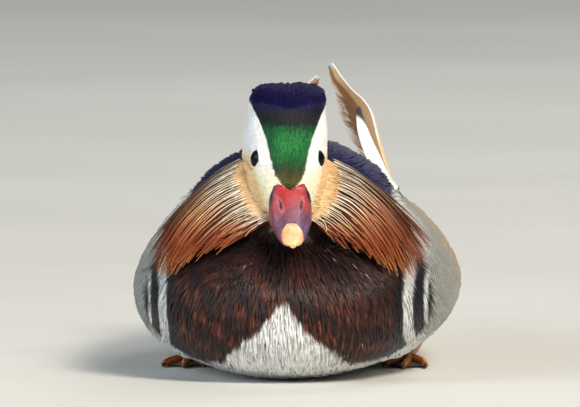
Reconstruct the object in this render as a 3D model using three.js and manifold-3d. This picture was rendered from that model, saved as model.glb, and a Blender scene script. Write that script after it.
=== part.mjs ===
// Male mandarin duck, life size, set down on its belly with the feet tucked under.
// Millimetres, +Z up, floor at z = 0, the bill points to -Y, the duck's left is +X.
import * as THREE from 'three';
import { mergeVertices } from 'three/addons/utils/BufferGeometryUtils.js';
import Module from 'manifold-3d';

const wasm = await Module();
wasm.setup();

// Sizes
const SEAM = 0.3; // gap left where two nodes meet
const HEAD_YAW = 6.7; // degrees the head is turned to the duck's left
const HEAD_PIVOT = [-1, -68]; // x, y of the upright axis the head turns about
const HEAD_LEAN = 0.085; // how far the crown leans to the duck's left, for each mm over the brow
const LEAN_FROM = 102; // height where that lean begins
const SHOULDER_SWELL = 4; // how far the fluffed shoulders stand over the trunk
const BREAST_Y = -52; // where the breast ends and the flanks begin
const RUMP_Y = 62; // where the mantle ends and the rump begins
const VENT_Y = 120; // where the belly ends and the vent begins
const TAIL_Y = 178; // where the tail root begins
const FLANK_X = 44; // inner face of each flank
const FLANK_SWELL = 2.2; // how far the flank plumage stands over the trunk beside it
const BACK_Z = 60; // level that parts belly from back
const EYE_RADIUS = 4.9;
const EYE_CENTRE = [11.6, -86, 98.2];
const EYE_FORWARD = 20; // degrees each eye looks ahead of straight sideways
const LID_OPENING = 3.95;

// y, half width, underside, top, height of greatest width, roundness above, roundness below
const BODY = [
  [-117.6, 0, 34, 34, 34, 2, 2],
  [-117.0, 9, 25, 41, 33, 2, 2],
  [-115.0, 18, 18.5, 45.5, 33, 2, 2],
  [-111.0, 29, 12.5, 51.5, 33.5, 2, 2],
  [-105.0, 39.5, 7.5, 58, 34, 2, 2],
  [-96.0, 48.5, 3.4, 64.5, 34.5, 2, 2],
  [-85.0, 55, 0.8, 71, 35, 2, 2],
  [-70.0, 60.5, -0.8, 79.5, 35, 1.95, 2],
  [-50.0, 65.5, -1.6, 90.5, 35, 1.76, 2],
  [-20.0, 69, -1.8, 100, 36, 1.6, 2],
  [20.0, 71.1, -1.8, 95, 37.5, 1.54, 2],
  [60.0, 69.6, -1.2, 89.5, 37.5, 1.6, 2],
  [95.0, 63.5, 2.4, 85, 38.5, 1.75, 2],
  [125.0, 53, 12.5, 81, 43.5, 1.85, 2],
  [150.0, 41.5, 26.5, 78, 50, 1.95, 2],
  [172.0, 28.5, 40, 74.5, 57, 2, 2],
  [190.0, 18.5, 49.5, 71.5, 60.5, 2, 2],
  [202.0, 11, 55.5, 68.5, 62, 2, 2],
  [207.0, 0, 62.5, 62.5, 62.5, 2, 2],
];

const HEAD = [
  [-104.6, 0, 82, 82, 82, 2, 2],
  [-104.0, 5.6, 75.5, 88.4, 82, 2, 2],
  [-102.4, 8.6, 72.4, 92.4, 82.5, 2, 2],
  [-99.0, 11.4, 70.3, 99.4, 84, 2.1, 2],
  [-94.0, 13.8, 69.8, 107, 87.5, 2.4, 2],
  [-88.0, 16, 70.6, 114, 90.5, 2.8, 2.1],
  [-81.0, 17.9, 72.8, 119.6, 93, 3.0, 2.2],
  [-73.0, 19, 76.6, 124, 95.5, 3.1, 2.2],
  [-64.0, 19.4, 81.2, 126.4, 98, 3.2, 2.2],
  [-54.0, 18.2, 88, 126, 102.5, 3.0, 2.1],
  [-46.0, 15.2, 94.6, 122.6, 106.5, 2.6, 2],
  [-40.0, 10.6, 100.4, 117.4, 108.5, 2.2, 2],
  [-36.6, 5.2, 104.6, 112.6, 108.6, 2, 2],
  [-35.6, 0, 108.6, 108.6, 108.6, 2, 2],
];

const CREST = [
  [-86.5, 0, 117, 117, 117, 2, 2],
  [-85.4, 5, 114.5, 119, 116.5, 2, 2],
  [-80.0, 12, 112, 124, 118, 2.6, 2],
  [-73.0, 16.2, 110, 128.4, 119, 3.2, 2],
  [-65.0, 18.1, 108, 130.6, 119.5, 3.4, 2],
  [-55.0, 18.2, 106.5, 131, 119, 3.2, 2],
  [-45.0, 16.6, 105.5, 129.6, 117.5, 3, 2],
  [-35.0, 14.2, 105, 125.8, 115.5, 2.6, 2],
  [-25.0, 11.2, 105, 121, 113, 2.3, 2],
  [-15.0, 8, 105, 115.6, 110.3, 2, 2],
  [-6.0, 4.8, 104.6, 110.6, 107.6, 2, 2],
  [2.0, 0, 105, 105, 105, 2, 2],
];

// Helpers
const rad = (degrees) => (degrees * Math.PI) / 180;
const V = (x, y, z) => new THREE.Vector3(x, y, z);
const mix = (a, b, t) => a + (b - a) * t;

/** Repeatable random numbers from 0 to 1. */
function seeded(seed) {
  let state = seed;
  return () => {
    state = (state * 16807) % 2147483647;
    return state / 2147483647;
  };
}

/** A smooth curve through stations, one value per column, without overshoot. */
class Profile {
  constructor(stations) {
    this.stations = stations;
    const count = stations.length;
    this.slopes = stations.map((station, i) =>
      station.map((value, column) => {
        if (i === 0 || i === count - 1) return null;
        const before = stations[i - 1];
        const after = stations[i + 1];
        const left = (value - before[column]) / (station[0] - before[0]);
        const right = (after[column] - value) / (after[0] - station[0]);
        return left * right <= 0 ? 0 : (2 * left * right) / (left + right);
      }),
    );
    for (const [end, near] of [[0, 1], [count - 1, count - 2]]) {
      this.slopes[end] = stations[end].map((value, column) => {
        const run = stations[near][0] - stations[end][0];
        return run === 0 ? 0 : (stations[near][column] - value) / run;
      });
    }
  }

  at(where) {
    const list = this.stations;
    const last = list.length - 1;
    const y = Math.min(Math.max(where, list[0][0]), list[last][0]);
    let i = 0;
    while (i < last - 1 && y > list[i + 1][0]) i += 1;
    const run = list[i + 1][0] - list[i][0];
    const t = (y - list[i][0]) / run;
    const h00 = 2 * t ** 3 - 3 * t ** 2 + 1;
    const h10 = t ** 3 - 2 * t ** 2 + t;
    const h01 = -2 * t ** 3 + 3 * t ** 2;
    const h11 = t ** 3 - t ** 2;
    return list[i].map((value, column) =>
      h00 * value + h10 * run * this.slopes[i][column]
      + h01 * list[i + 1][column] + h11 * run * this.slopes[i + 1][column]);
  }
}

/** Closed surface from points and triangles, wound to face outward. */
function surface(points, triangles) {
  let volume = 0;
  for (const [a, b, c] of triangles) {
    volume += points[a].dot(V(0, 0, 0).crossVectors(points[b], points[c])) / 6;
  }
  const facing = volume < 0 ? triangles.map(([a, b, c]) => [a, c, b]) : triangles;
  const geometry = new THREE.BufferGeometry();
  geometry.setAttribute('position',
    new THREE.Float32BufferAttribute(points.flatMap((p) => [p.x, p.y, p.z]), 3));
  geometry.setIndex(facing.flat());
  return geometry;
}

/** Solid body from a closed geometry. */
function solid(geometry) {
  const bare = geometry.clone();
  bare.deleteAttribute('normal');
  bare.deleteAttribute('uv');
  const merged = mergeVertices(bare, 1e-4);
  return new wasm.Manifold(new wasm.Mesh({
    numProp: 3,
    vertProperties: new Float32Array(merged.attributes.position.array),
    triVerts: new Uint32Array(merged.index.array),
  }));
}

/** The biggest closed piece of a body. */
function largest(body) {
  let best = null;
  for (const piece of body.decompose()) {
    if (best === null || piece.volume() > best.volume()) best = piece;
  }
  return best;
}

/** Skin drawn over rings of equally many points, closed at both ends. */
function loft(rings, start = null, end = null) {
  const around = rings[0].length;
  const points = rings.flat();
  const triangles = [];
  for (let i = 0; i + 1 < rings.length; i += 1) {
    for (let j = 0; j < around; j += 1) {
      const a = i * around + j;
      const b = i * around + ((j + 1) % around);
      triangles.push([a, b, b + around], [a, b + around, a + around]);
    }
  }
  const cap = (first, pole, flip) => {
    const middle = pole ?? rings[first / around].reduce((sum, p) => sum.add(p), V(0, 0, 0))
      .divideScalar(around);
    points.push(middle);
    const centre = points.length - 1;
    for (let j = 0; j < around; j += 1) {
      const a = first + j;
      const b = first + ((j + 1) % around);
      triangles.push(flip ? [centre, b, a] : [centre, a, b]);
    }
  };
  cap(0, start, true);
  cap((rings.length - 1) * around, end, false);
  return surface(points, triangles);
}

/** Thin solid laid on both sides of a grid of points, split alike on both faces. */
function sheet(grid, thickness) {
  const rows = grid.length;
  const columns = grid[0].length;
  const points = [];
  const normalAt = (i, j) => {
    const down = grid[Math.min(i + 1, rows - 1)][j].clone().sub(grid[Math.max(i - 1, 0)][j]);
    const across = grid[i][Math.min(j + 1, columns - 1)].clone().sub(grid[i][Math.max(j - 1, 0)]);
    return down.cross(across).normalize();
  };
  for (const side of [0.5, -0.5]) {
    for (let i = 0; i < rows; i += 1) {
      for (let j = 0; j < columns; j += 1) {
        const lift = side * thickness(i / (rows - 1), j / (columns - 1));
        points.push(grid[i][j].clone().addScaledVector(normalAt(i, j), lift));
      }
    }
  }
  const half = rows * columns;
  const at = (i, j, face) => face * half + i * columns + j;
  const triangles = [];
  for (let i = 0; i + 1 < rows; i += 1) {
    for (let j = 0; j + 1 < columns; j += 1) {
      triangles.push([at(i, j, 0), at(i + 1, j, 0), at(i + 1, j + 1, 0)]);
      triangles.push([at(i, j, 0), at(i + 1, j + 1, 0), at(i, j + 1, 0)]);
      triangles.push([at(i, j, 1), at(i + 1, j + 1, 1), at(i + 1, j, 1)]);
      triangles.push([at(i, j, 1), at(i, j + 1, 1), at(i + 1, j + 1, 1)]);
    }
  }
  const rim = [];
  for (let j = 0; j < columns; j += 1) rim.push([0, j]);
  for (let i = 1; i < rows; i += 1) rim.push([i, columns - 1]);
  for (let j = columns - 2; j >= 0; j -= 1) rim.push([rows - 1, j]);
  for (let i = rows - 2; i > 0; i -= 1) rim.push([i, 0]);
  rim.forEach(([i, j], k) => {
    const [m, n] = rim[(k + 1) % rim.length];
    triangles.push([at(i, j, 0), at(m, n, 0), at(m, n, 1)]);
    triangles.push([at(i, j, 0), at(m, n, 1), at(i, j, 1)]);
  });
  return surface(points, triangles);
}

/** Rounded block of flesh: upright sections strung along the length of the duck. */
class Form {
  constructor(stations, yaw = 0, pivot = [0, 0], lean = 0) {
    this.profile = new Profile(stations);
    this.first = stations[0][0];
    this.last = stations[stations.length - 1][0];
    this.stations = stations;
    this.yaw = rad(yaw);
    this.pivot = pivot;
    this.lean = lean;
  }

  /** From the form's own axes to the duck's axes. */
  out(p) {
    const [px, py] = this.pivot;
    const c = Math.cos(this.yaw);
    const s = Math.sin(this.yaw);
    const x = p.x + this.lean * Math.max(p.z - LEAN_FROM, 0);
    return V(px + x * c - (p.y - py) * s, py + x * s + (p.y - py) * c, p.z);
  }

  /** From the duck's axes to the form's own axes. */
  into(p) {
    const [px, py] = this.pivot;
    const c = Math.cos(this.yaw);
    const s = Math.sin(this.yaw);
    const x = (p.x - px) * c + (p.y - py) * s - this.lean * Math.max(p.z - LEAN_FROM, 0);
    return V(x, py - (p.x - px) * s + (p.y - py) * c, p.z);
  }

  local(y, angle) {
    const [, wide, low, high, side, above, below] = this.profile.at(y);
    const c = Math.cos(angle);
    const s = Math.sin(angle);
    const power = s >= 0 ? above : below;
    const x = wide * Math.sign(c) * Math.abs(c) ** (2 / power);
    const reach = s >= 0 ? high - side : side - low;
    return V(x, y, side + reach * Math.sign(s) * Math.abs(s) ** (2 / power));
  }

  /** Closed skin of the form, grown outward by an offset or by a function of the place. */
  geometry(rows, around, offset = 0) {
    const grown = typeof offset === 'function' ? offset : () => offset;
    const rings = rows.map((y) => {
      const ring = [];
      for (let j = 0; j < around; j += 1) {
        const angle = (2 * Math.PI * j) / around;
        const p = this.local(y, angle);
        const dy = this.local(Math.min(y + 0.5, this.last), angle)
          .sub(this.local(Math.max(y - 0.5, this.first), angle));
        const da = this.local(y, angle + 0.04).sub(this.local(y, angle - 0.04));
        ring.push(this.out(p.addScaledVector(dy.cross(da).normalize(), grown(p))));
      }
      return ring;
    });
    const start = this.stations[0];
    const end = this.stations[this.stations.length - 1];
    return loft(rings,
      this.out(V(0, start[0] - grown(V(0, start[0], start[2])), start[2])),
      this.out(V(0, end[0] + grown(V(0, end[0], end[2])), end[2])));
  }

  /** Signed height of a point over the form, and the way straight out of it. */
  height(point) {
    const value = (p) => {
      const y = Math.min(Math.max(p.y, this.first + 0.4), this.last - 0.4);
      const [, wide, low, high, side, above, below] = this.profile.at(y);
      const up = p.z >= side;
      const power = up ? above : below;
      const reach = up ? high - side : side - low;
      return ((Math.abs(p.x) / wide) ** power
        + (Math.abs(p.z - side) / reach) ** power) ** (1 / power) - 1;
    };
    const p = this.into(point);
    const step = 0.05;
    const slope = V(
      value(V(p.x + step, p.y, p.z)) - value(V(p.x - step, p.y, p.z)),
      value(V(p.x, p.y + step, p.z)) - value(V(p.x, p.y - step, p.z)),
      value(V(p.x, p.y, p.z + step)) - value(V(p.x, p.y, p.z - step)),
    ).divideScalar(2 * step);
    const size = slope.length();
    const way = slope.divideScalar(size);
    const origin = this.out(V(0, 0, 0));
    return { over: value(p) / size, way: this.out(way).sub(origin) };
  }

  /** Moves a point straight out or in until it stands a given height over the form. */
  place(point, wanted) {
    const p = point.clone();
    for (let i = 0; i < 12; i += 1) {
      const { over, way } = this.height(p);
      p.addScaledVector(way, (wanted - over) * 0.8);
    }
    return p;
  }

  /** Pushes a point out of the form where it lies lower than a given height. */
  clear(point, least) {
    return this.height(point).over >= least ? point.clone() : this.place(point, least);
  }
}

/** Upright ring in the plane through two points of the midline. */
function ring(top, bottom, wide, around, above = 2, below = 2, middle = 0.5) {
  const points = [];
  const side = [mix(bottom[0], top[0], middle), mix(bottom[1], top[1], middle)];
  for (let j = 0; j < around; j += 1) {
    const angle = (2 * Math.PI * j) / around;
    const c = Math.cos(angle);
    const s = Math.sin(angle);
    const power = s >= 0 ? above : below;
    const reach = Math.abs(s) ** (2 / power);
    const end = s >= 0 ? top : bottom;
    points.push(V(wide * Math.sign(c) * Math.abs(c) ** (2 / power),
      mix(side[0], end[0], reach), mix(side[1], end[1], reach)));
  }
  return points;
}

/** Block between two corners. */
function block([x0, y0, z0], [x1, y1, z1]) {
  const box = new THREE.BoxGeometry(x1 - x0, y1 - y0, z1 - z0);
  box.translate((x0 + x1) / 2, (y0 + y1) / 2, (z0 + z1) / 2);
  return solid(box);
}

/** Points of a list with the sign of x changed for the duck's right. */
const mirrored = (points, side) => points.map((p) => V(p.x * side, p.y, p.z));

/** Smooth curve through points, read at a fraction of its length. */
function path(points) {
  const curve = new THREE.CatmullRomCurve3(points, false, 'centripetal');
  return (t) => curve.getPoint(Math.min(Math.max(t, 0), 1));
}

/** Half width along a vane: narrow at the quill, full past the middle, round or pointed at the end. */
function outline(full, pointed) {
  const tip = pointed ? 0.14 : 0.42;
  const stops = path([V(full * 0.45, 0, 0), V(full * 0.82, 0, 0), V(full, 0, 0),
    V(full * (pointed ? 0.78 : 0.96), 0, 0), V(full * tip, 0, 0)]);
  return (t) => stops(t).x;
}

/**
 * Vane along a line of points: the line gives place and the way out, the width is half the vane,
 * roll lifts one edge and cup bends both edges down.
 */
function vane(line, { rows, width, roll = 0, cup = 0.12, thick = 0.6, columns = 2 }) {
  const grid = [];
  for (let i = 0; i <= rows; i += 1) {
    const t = i / rows;
    const { point, way } = line(t);
    const ahead = line(Math.min(t + 0.02, 1)).point.clone()
      .sub(line(Math.max(t - 0.02, 0)).point).normalize();
    const across = way.clone().cross(ahead).normalize();
    const row = [];
    for (let j = 0; j <= columns; j += 1) {
      const v = (j / columns) * 2 - 1;
      const w = width(t);
      row.push(point.clone().addScaledVector(across, v * w)
        .addScaledVector(way, (roll * v - cup * v * v) * w));
    }
    grid.push(row);
  }
  return solid(sheet(grid, (u) => mix(thick, thick * 0.85, u)));
}

const body = new Form(BODY);
const skull = new Form(HEAD, HEAD_YAW, HEAD_PIVOT, HEAD_LEAN);
const tuft = new Form(CREST, HEAD_YAW, HEAD_PIVOT, HEAD_LEAN);
const BODY_ROWS = [-117, -115, -111, -105, -96, -85, -70, -52, -34, -16, 5, 28, 50, 72, 95, 118, 140,
  158, 174, 190, 202];
const HEAD_ROWS = [-104, -102.4, -99, -94, -88, -81, -73, -64, -54, -46, -40, -36.6];
const CREST_ROWS = [-85.4, -80, -73, -65, -55, -45, -35, -25, -15, -6];
const BODY_AROUND = 28;
const HEAD_AROUND = 22;

/** Smooth ramp from 0 at one value to 1 at another. */
function ramp(from, to, value) {
  const t = Math.min(Math.max((value - from) / (to - from), 0), 1);
  return t * t * (3 - 2 * t);
}
/** How far the fluffed shoulders stand over the trunk at a point, more on the duck's left. */
function shoulder(p) {
  const side = Math.abs(p.x);
  const share = ramp(4, 14, side) * ramp(47, 33, side) * ramp(-56, -40, p.y) * ramp(14, -10, p.y)
    * ramp(58, 74, p.z);
  return SHOULDER_SWELL * share * (1 + 0.35 * ramp(0, 10, p.x));
}
const bodySolid = (offset = 0) => solid(body.geometry(BODY_ROWS, BODY_AROUND, (p) => offset + shoulder(p)));
const headSolid = (offset = 0) => solid(skull.geometry(HEAD_ROWS, HEAD_AROUND, offset));

const group = new THREE.Group();
group.name = 'mandarin_duck';

/** Adds a named node with its own finish. */
function add(name, shape, colour, roughness = 0.8, metalness = 0) {
  let geometry = shape;
  if (!shape.isBufferGeometry) {
    const out = shape.getMesh();
    geometry = new THREE.BufferGeometry();
    geometry.setAttribute('position',
      new THREE.Float32BufferAttribute(Float32Array.from(out.vertProperties), 3));
    geometry.setIndex(Array.from(out.triVerts));
  }
  const material = new THREE.MeshStandardMaterial({ color: colour, roughness, metalness });
  material.name = name;
  const mesh = new THREE.Mesh(geometry, material);
  mesh.name = name;
  group.add(mesh);
  return mesh;
}

// Trunk
const whole = bodySolid().subtract(block([-90, -140, -30], [90, 230, 0]));
const FAR = 400;
const gap = SEAM / 2;

add('breast', whole.intersect(block([-FAR, -FAR, -FAR], [FAR, BREAST_Y - gap, FAR])), 0x2a1a1e, 0.55);
const hindPart = block([-FAR, BREAST_Y + gap, -FAR], [FAR, TAIL_Y - gap, FAR]);
const hind = whole.intersect(hindPart);
/** The half space outside a plane on the duck's left (1) or right (-1). */
function outside(side, x) {
  return side > 0 ? block([x, -FAR, -FAR], [FAR, FAR, FAR]) : block([-FAR, -FAR, -FAR], [-x, FAR, FAR]);
}
const swollen = bodySolid(FLANK_SWELL).intersect(hindPart);
for (const [name, side] of [['left', 1], ['right', -1]]) {
  add(`flank_${name}`, largest(swollen.intersect(outside(side, FLANK_X + gap))), 0x8d8f86, 0.8);
}
const core = hind.intersect(block([-FLANK_X + gap, -FAR, -FAR], [FLANK_X - gap, FAR, FAR]));
const back = core.intersect(block([-FAR, -FAR, BACK_Z + gap], [FAR, FAR, FAR]));
const under = core.intersect(block([-FAR, -FAR, -FAR], [FAR, FAR, BACK_Z - gap]));
add('mantle', back.intersect(block([-FAR, -FAR, -FAR], [FAR, RUMP_Y - gap, FAR])), 0x2c2c52, 0.6);
add('rump', back.intersect(block([-FAR, RUMP_Y + gap, -FAR], [FAR, FAR, FAR])), 0x33301f, 0.7);
add('belly', under.intersect(block([-FAR, -FAR, -FAR], [FAR, VENT_Y - gap, FAR])), 0xe8e6df, 0.85);
add('vent', under.intersect(block([-FAR, VENT_Y + gap, -FAR], [FAR, FAR, FAR])), 0xe8e6df, 0.85);

// Neck
const NECK = [
  { front: [-97, 58], rear: [-34, 62], wide: 30 },
  { front: [-98.5, 68], rear: [-33, 78], wide: 28 },
  { front: [-97, 76], rear: [-36, 91], wide: 24.5 },
  { front: [-92, 84], rear: [-42, 101], wide: 19 },
  { front: [-84, 92], rear: [-50, 106], wide: 13 },
];
function neckSolid(offset = 0) {
  const rings = NECK.map(({ front, rear, wide }) =>
    ring([front[0] - offset, front[1]], [rear[0] + offset, rear[1]], wide + offset, 18, 2.2, 2.2, 0.55));
  return solid(loft(rings));
}
const flankCut = bodySolid(FLANK_SWELL + SEAM)
  .intersect(block([-FAR, BREAST_Y - gap, -FAR], [FAR, TAIL_Y + gap, FAR]));
const trunkCut = bodySolid(SEAM)
  .add(flankCut.intersect(outside(1, FLANK_X - gap)))
  .add(flankCut.intersect(outside(-1, FLANK_X - gap)));
const headCut = headSolid(SEAM);
add('neck', largest(neckSolid().subtract(trunkCut).subtract(headCut)), 0x7a3b1c, 0.75);

// Eyes and lids
/** Eyeball centre and the way it looks, in the duck's axes. */
function eyeFrame(side) {
  const centre = skull.out(V(EYE_CENTRE[0] * side, EYE_CENTRE[1], EYE_CENTRE[2]));
  const tip = skull.out(V((EYE_CENTRE[0] + Math.cos(rad(EYE_FORWARD))) * side,
    EYE_CENTRE[1] - Math.sin(rad(EYE_FORWARD)), EYE_CENTRE[2] + 0.05));
  return { centre, look: tip.sub(centre).normalize() };
}
function ball(centre, radius, columns, rows) {
  const sphere = new THREE.SphereGeometry(radius, columns, rows);
  sphere.rotateX(Math.PI / 2);
  sphere.translate(centre.x, centre.y, centre.z);
  return sphere;
}
/** Rod from inside the eye outward, as wide as the opening between the lids. */
function opening(frame, radius) {
  const rod = new THREE.CylinderGeometry(radius * 1.35, radius * 0.8, 9, 16);
  rod.applyQuaternion(new THREE.Quaternion().setFromUnitVectors(V(0, 1, 0), frame.look));
  const middle = frame.centre.clone().addScaledVector(frame.look, 5.2);
  rod.translate(middle.x, middle.y, middle.z);
  return solid(rod);
}

let head = headSolid().subtract(trunkCut);
for (const [name, side] of [['left', 1], ['right', -1]]) {
  const frame = eyeFrame(side);
  const lids = solid(ball(frame.centre, EYE_RADIUS + 1.05, 14, 10));
  head = head.add(lids)
    .subtract(opening(frame, LID_OPENING))
    .subtract(solid(ball(frame.centre, EYE_RADIUS + SEAM, 14, 10)));
  add(`eye_${name}`, ball(frame.centre, EYE_RADIUS, 14, 10), 0x1a0c08, 0.08);
}

// Bill
// top and underside on the midline (y, z) and half width, from the base to the tip
const BILL = [
  { top: [-97.0, 92.6], low: [-95.0, 73.4], wide: 8.4 },
  { top: [-101.4, 89.6], low: [-99.0, 71.6], wide: 9.2 },
  { top: [-105.0, 86.0], low: [-103.0, 69.7], wide: 9.6 },
  { top: [-109.0, 80.4], low: [-106.6, 67.8], wide: 9.6 },
  { top: [-113.0, 74.6], low: [-110.6, 65.7], wide: 9.1 },
  { top: [-117.0, 69.2], low: [-114.6, 63.6], wide: 8.4 },
  { top: [-120.2, 65.8], low: [-118.2, 62.2], wide: 7.2 },
  { top: [-122.0, 63.6], low: [-121.0, 61.3], wide: 4.9 },
];
const BILL_TIP = [-122.8, 61.8];
const JAW_DOWN = [0.41, -0.912]; // straight down from the line of the mouth
const JAW_DEPTH = [3.2, 3.4, 3.4, 3.0, 2.5, 1.9, 1.2];
const JAW_WIDE = [7.4, 8.1, 8.4, 8.3, 7.7, 6.8, 5.2];

function billSolid(grow = 0) {
  const rings = BILL.map(({ top, low, wide }) =>
    ring([top[0] - grow, top[1] + grow], [low[0] + grow, low[1] - grow], wide + grow, 20, 2.3, 4.5, 0.28)
      .map((p) => skull.out(p)));
  return solid(loft(rings, null, skull.out(V(0, ...BILL_TIP))));
}
function jawSolid(grow = 0) {
  const rings = JAW_DEPTH.map((depth, i) => {
    const [y, z] = BILL[i].low;
    const top = [y + JAW_DOWN[0] * 0.4, z + JAW_DOWN[1] * 0.4];
    const deep = depth + grow;
    const low = [top[0] + JAW_DOWN[0] * deep, top[1] + JAW_DOWN[1] * deep];
    return ring(top, low, JAW_WIDE[i] + grow, 16, 5, 2.2, 0.7).map((p) => skull.out(p));
  });
  return solid(loft(rings));
}
function nostril(side) {
  const hole = new THREE.SphereGeometry(1, 10, 8);
  hole.scale(0.8, 0.8, 2.1);
  hole.rotateX(rad(-33));
  hole.translate(5.1 * side, -109.2, 80.4);
  const points = hole.attributes.position;
  for (let i = 0; i < points.count; i += 1) {
    const p = skull.out(V(points.getX(i), points.getY(i), points.getZ(i)));
    points.setXYZ(i, p.x, p.y, p.z);
  }
  return solid(hole);
}
const nail = (() => {
  const shield = new THREE.SphereGeometry(1, 10, 8);
  shield.scale(3.7, 1.1, 5.2);
  shield.rotateX(rad(-38));
  shield.translate(0, -120.0, 64.3);
  const points = shield.attributes.position;
  for (let i = 0; i < points.count; i += 1) {
    const p = skull.out(V(points.getX(i), points.getY(i), points.getZ(i)));
    points.setXYZ(i, p.x, p.y, p.z);
  }
  return solid(shield);
})();
const jaw = jawSolid();
const beak = billSolid().add(nail).subtract(headCut).subtract(nostril(1)).subtract(nostril(-1));
const neckCut = neckSolid(SEAM);
const billCut = billSolid(SEAM).add(jawSolid(SEAM));
add('bill_upper', largest(beak.subtract(neckCut)), 0xc2403c, 0.42);
add('bill_lower', largest(jaw.subtract(headCut).subtract(neckCut).subtract(trunkCut)), 0xa8584c, 0.45);
add('head', largest(head), 0xe6ddc6, 0.8);

// Crest
// start y, end y, start and end angle round the crest in degrees, half width
const CREST_LOCKS = [
  [-74, -4, 14, 24, 2.5], [-78, 3, 42, 56, 2.6], [-81, -7, 70, 76, 2.7], [-82, 8, 97, 92, 2.6],
  [-80, -5, 124, 110, 2.7], [-76, 2, 150, 138, 2.6], [-72, -8, 176, 164, 2.4],
];
let crest = solid(tuft.geometry(CREST_ROWS, 16, -1.3));
for (const [k, [from, to, turnA, turnB, half]] of CREST_LOCKS.entries()) {
  const over = (k % 2) * 1.2 + 0.1;
  const line = (t) => {
    const y = mix(from, to, t);
    const angle = rad(mix(turnA, turnB, t));
    const held = Math.min(y, -9);
    const p = tuft.local(held, angle);
    p.y = y;
    p.z -= Math.max(y + 9, 0) * 0.45;
    const side = V(Math.cos(angle), 0, Math.sin(angle));
    const way = tuft.out(side).sub(tuft.out(V(0, 0, 0))).normalize();
    const lift = t < 0.2 ? mix(-2.6, -0.2, t / 0.2) : mix(-0.2, over, (t - 0.2) / 0.8);
    return { point: tuft.out(p).addScaledVector(way, lift), way };
  };
  crest = crest.add(vane(line, { rows: 6, width: outline(half, true), cup: 0.2, thick: 0.9 }));
}
add('crest', largest(crest.subtract(headCut).subtract(trunkCut)), 0x1b2a4a, 0.45);

// Ruff
// roots on the cheek in the head's own axes, and tips in the duck's axes, from top to bottom
const RUFF_ROOTS = path([V(18.7, -71, 98), V(19.6, -76, 93), V(19.4, -81, 87.5), V(17, -88, 80.5),
  V(13.8, -93.5, 75), V(9, -98, 71.5)]);
const RUFF_TIPS = path([V(62.8, -57, 55), V(59, -76, 47.5), V(55, -87, 45), V(46, -97, 49), V(36, -101, 54.5),
  V(25, -102, 60.5), V(13, -103, 67)]);
const RUFF_BEND = path([V(4, 0, 0), V(10, 0, 0), V(13, 0, 0), V(9, 0, 0), V(4, 0, 0), V(1, 0, 0)]);

/** Line of one plume of the ruff: place in the fan, layer and side. */
function ruffLine(place, side, low) {
  const high = ramp(0.35, 0, place) * (side > 0 ? 1 : 0);
  const out = 1.8 * Math.sin(Math.PI * place) * (side > 0 ? 1 : 0);
  const root = skull.out(V((RUFF_ROOTS(place).x + out) * side, RUFF_ROOTS(place).y, RUFF_ROOTS(place).z));
  const tip = V((RUFF_TIPS(place).x + 1.4 * high) * side, RUFF_TIPS(place).y, RUFF_TIPS(place).z + 4 * high);
  const bend = (RUFF_BEND(place).x * root.distanceTo(tip)) / 54;
  const control = root.clone().lerp(tip, 0.5).add(V(0.64 * side * bend, -0.3 * bend, 0.77 * bend));
  return (t) => {
    const p = root.clone().multiplyScalar((1 - t) ** 2)
      .addScaledVector(control, 2 * t * (1 - t))
      .addScaledVector(tip, t ** 2);
    return body.clear(skull.clear(p, low), low);
  };
}
/** Point of the ruff and the way out of it, raised over the bed of the fan. */
function ruffPoint(place, t, side, lift) {
  const line = ruffLine(place, side, 2.3);
  const point = line(t);
  const down = line(Math.min(t + 0.04, 1)).sub(line(Math.max(t - 0.04, 0)));
  const over = ruffLine(Math.min(place + 0.03, 1), side, 2.3)(t)
    .sub(ruffLine(Math.max(place - 0.03, 0), side, 2.3)(t));
  const way = down.cross(over).normalize();
  if (way.dot(V(side, -0.6, 0.4)) < 0) way.negate();
  return { point: point.addScaledVector(way, lift), way };
}
const PLUMES = 12;
for (const [name, side] of [['left', 1], ['right', -1]]) {
  const chance = seeded(side > 0 ? 23 : 57);
  const grid = [];
  for (let i = 0; i <= 7; i += 1) {
    const row = [];
    for (let j = 0; j <= 2; j += 1) row.push(ruffPoint(i / 7, j * 0.14, side, 0).point);
    grid.push(row);
  }
  let fan = solid(sheet(grid, (u, v) => mix(2.4, 1.5, v)));
  for (const layer of [0, 1]) {
    for (let i = 0; i < PLUMES - layer; i += 1) {
      const place = (i + 0.5 * layer) / (PLUMES - 1);
      const short = layer ? 1 - 0.1 * chance() : 0.9 - 0.08 * chance();
      const raised = (t) => mix(0.35, 0.55, t) + 1.15 * layer * Math.min(t * 4, 1);
      const line = (t) => ruffPoint(place, mix(0.08, short, t), side, raised(t));
      fan = fan.add(vane(line, { rows: 5, width: outline(1.75, true), cup: 0.15, thick: 0.7, columns: 1 }));
    }
  }
  const clear = fan.subtract(neckCut).subtract(headCut).subtract(trunkCut).subtract(billCut);
  add(`ruff_${name}`, largest(clear), 0xb65a24, 0.7);
}

// Wings
// upper and lower edge of the folded wing as x, y on the back
const WING_UPPER = path([V(27, -14, 0), V(26, 20, 0), V(22, 60, 0), V(16, 100, 0), V(9, 148, 0)]);
const WING_LOWER = path([V(42, -12, 0), V(43.2, 20, 0), V(43.2, 60, 0), V(42, 100, 0), V(24, 150, 0)]);

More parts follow.
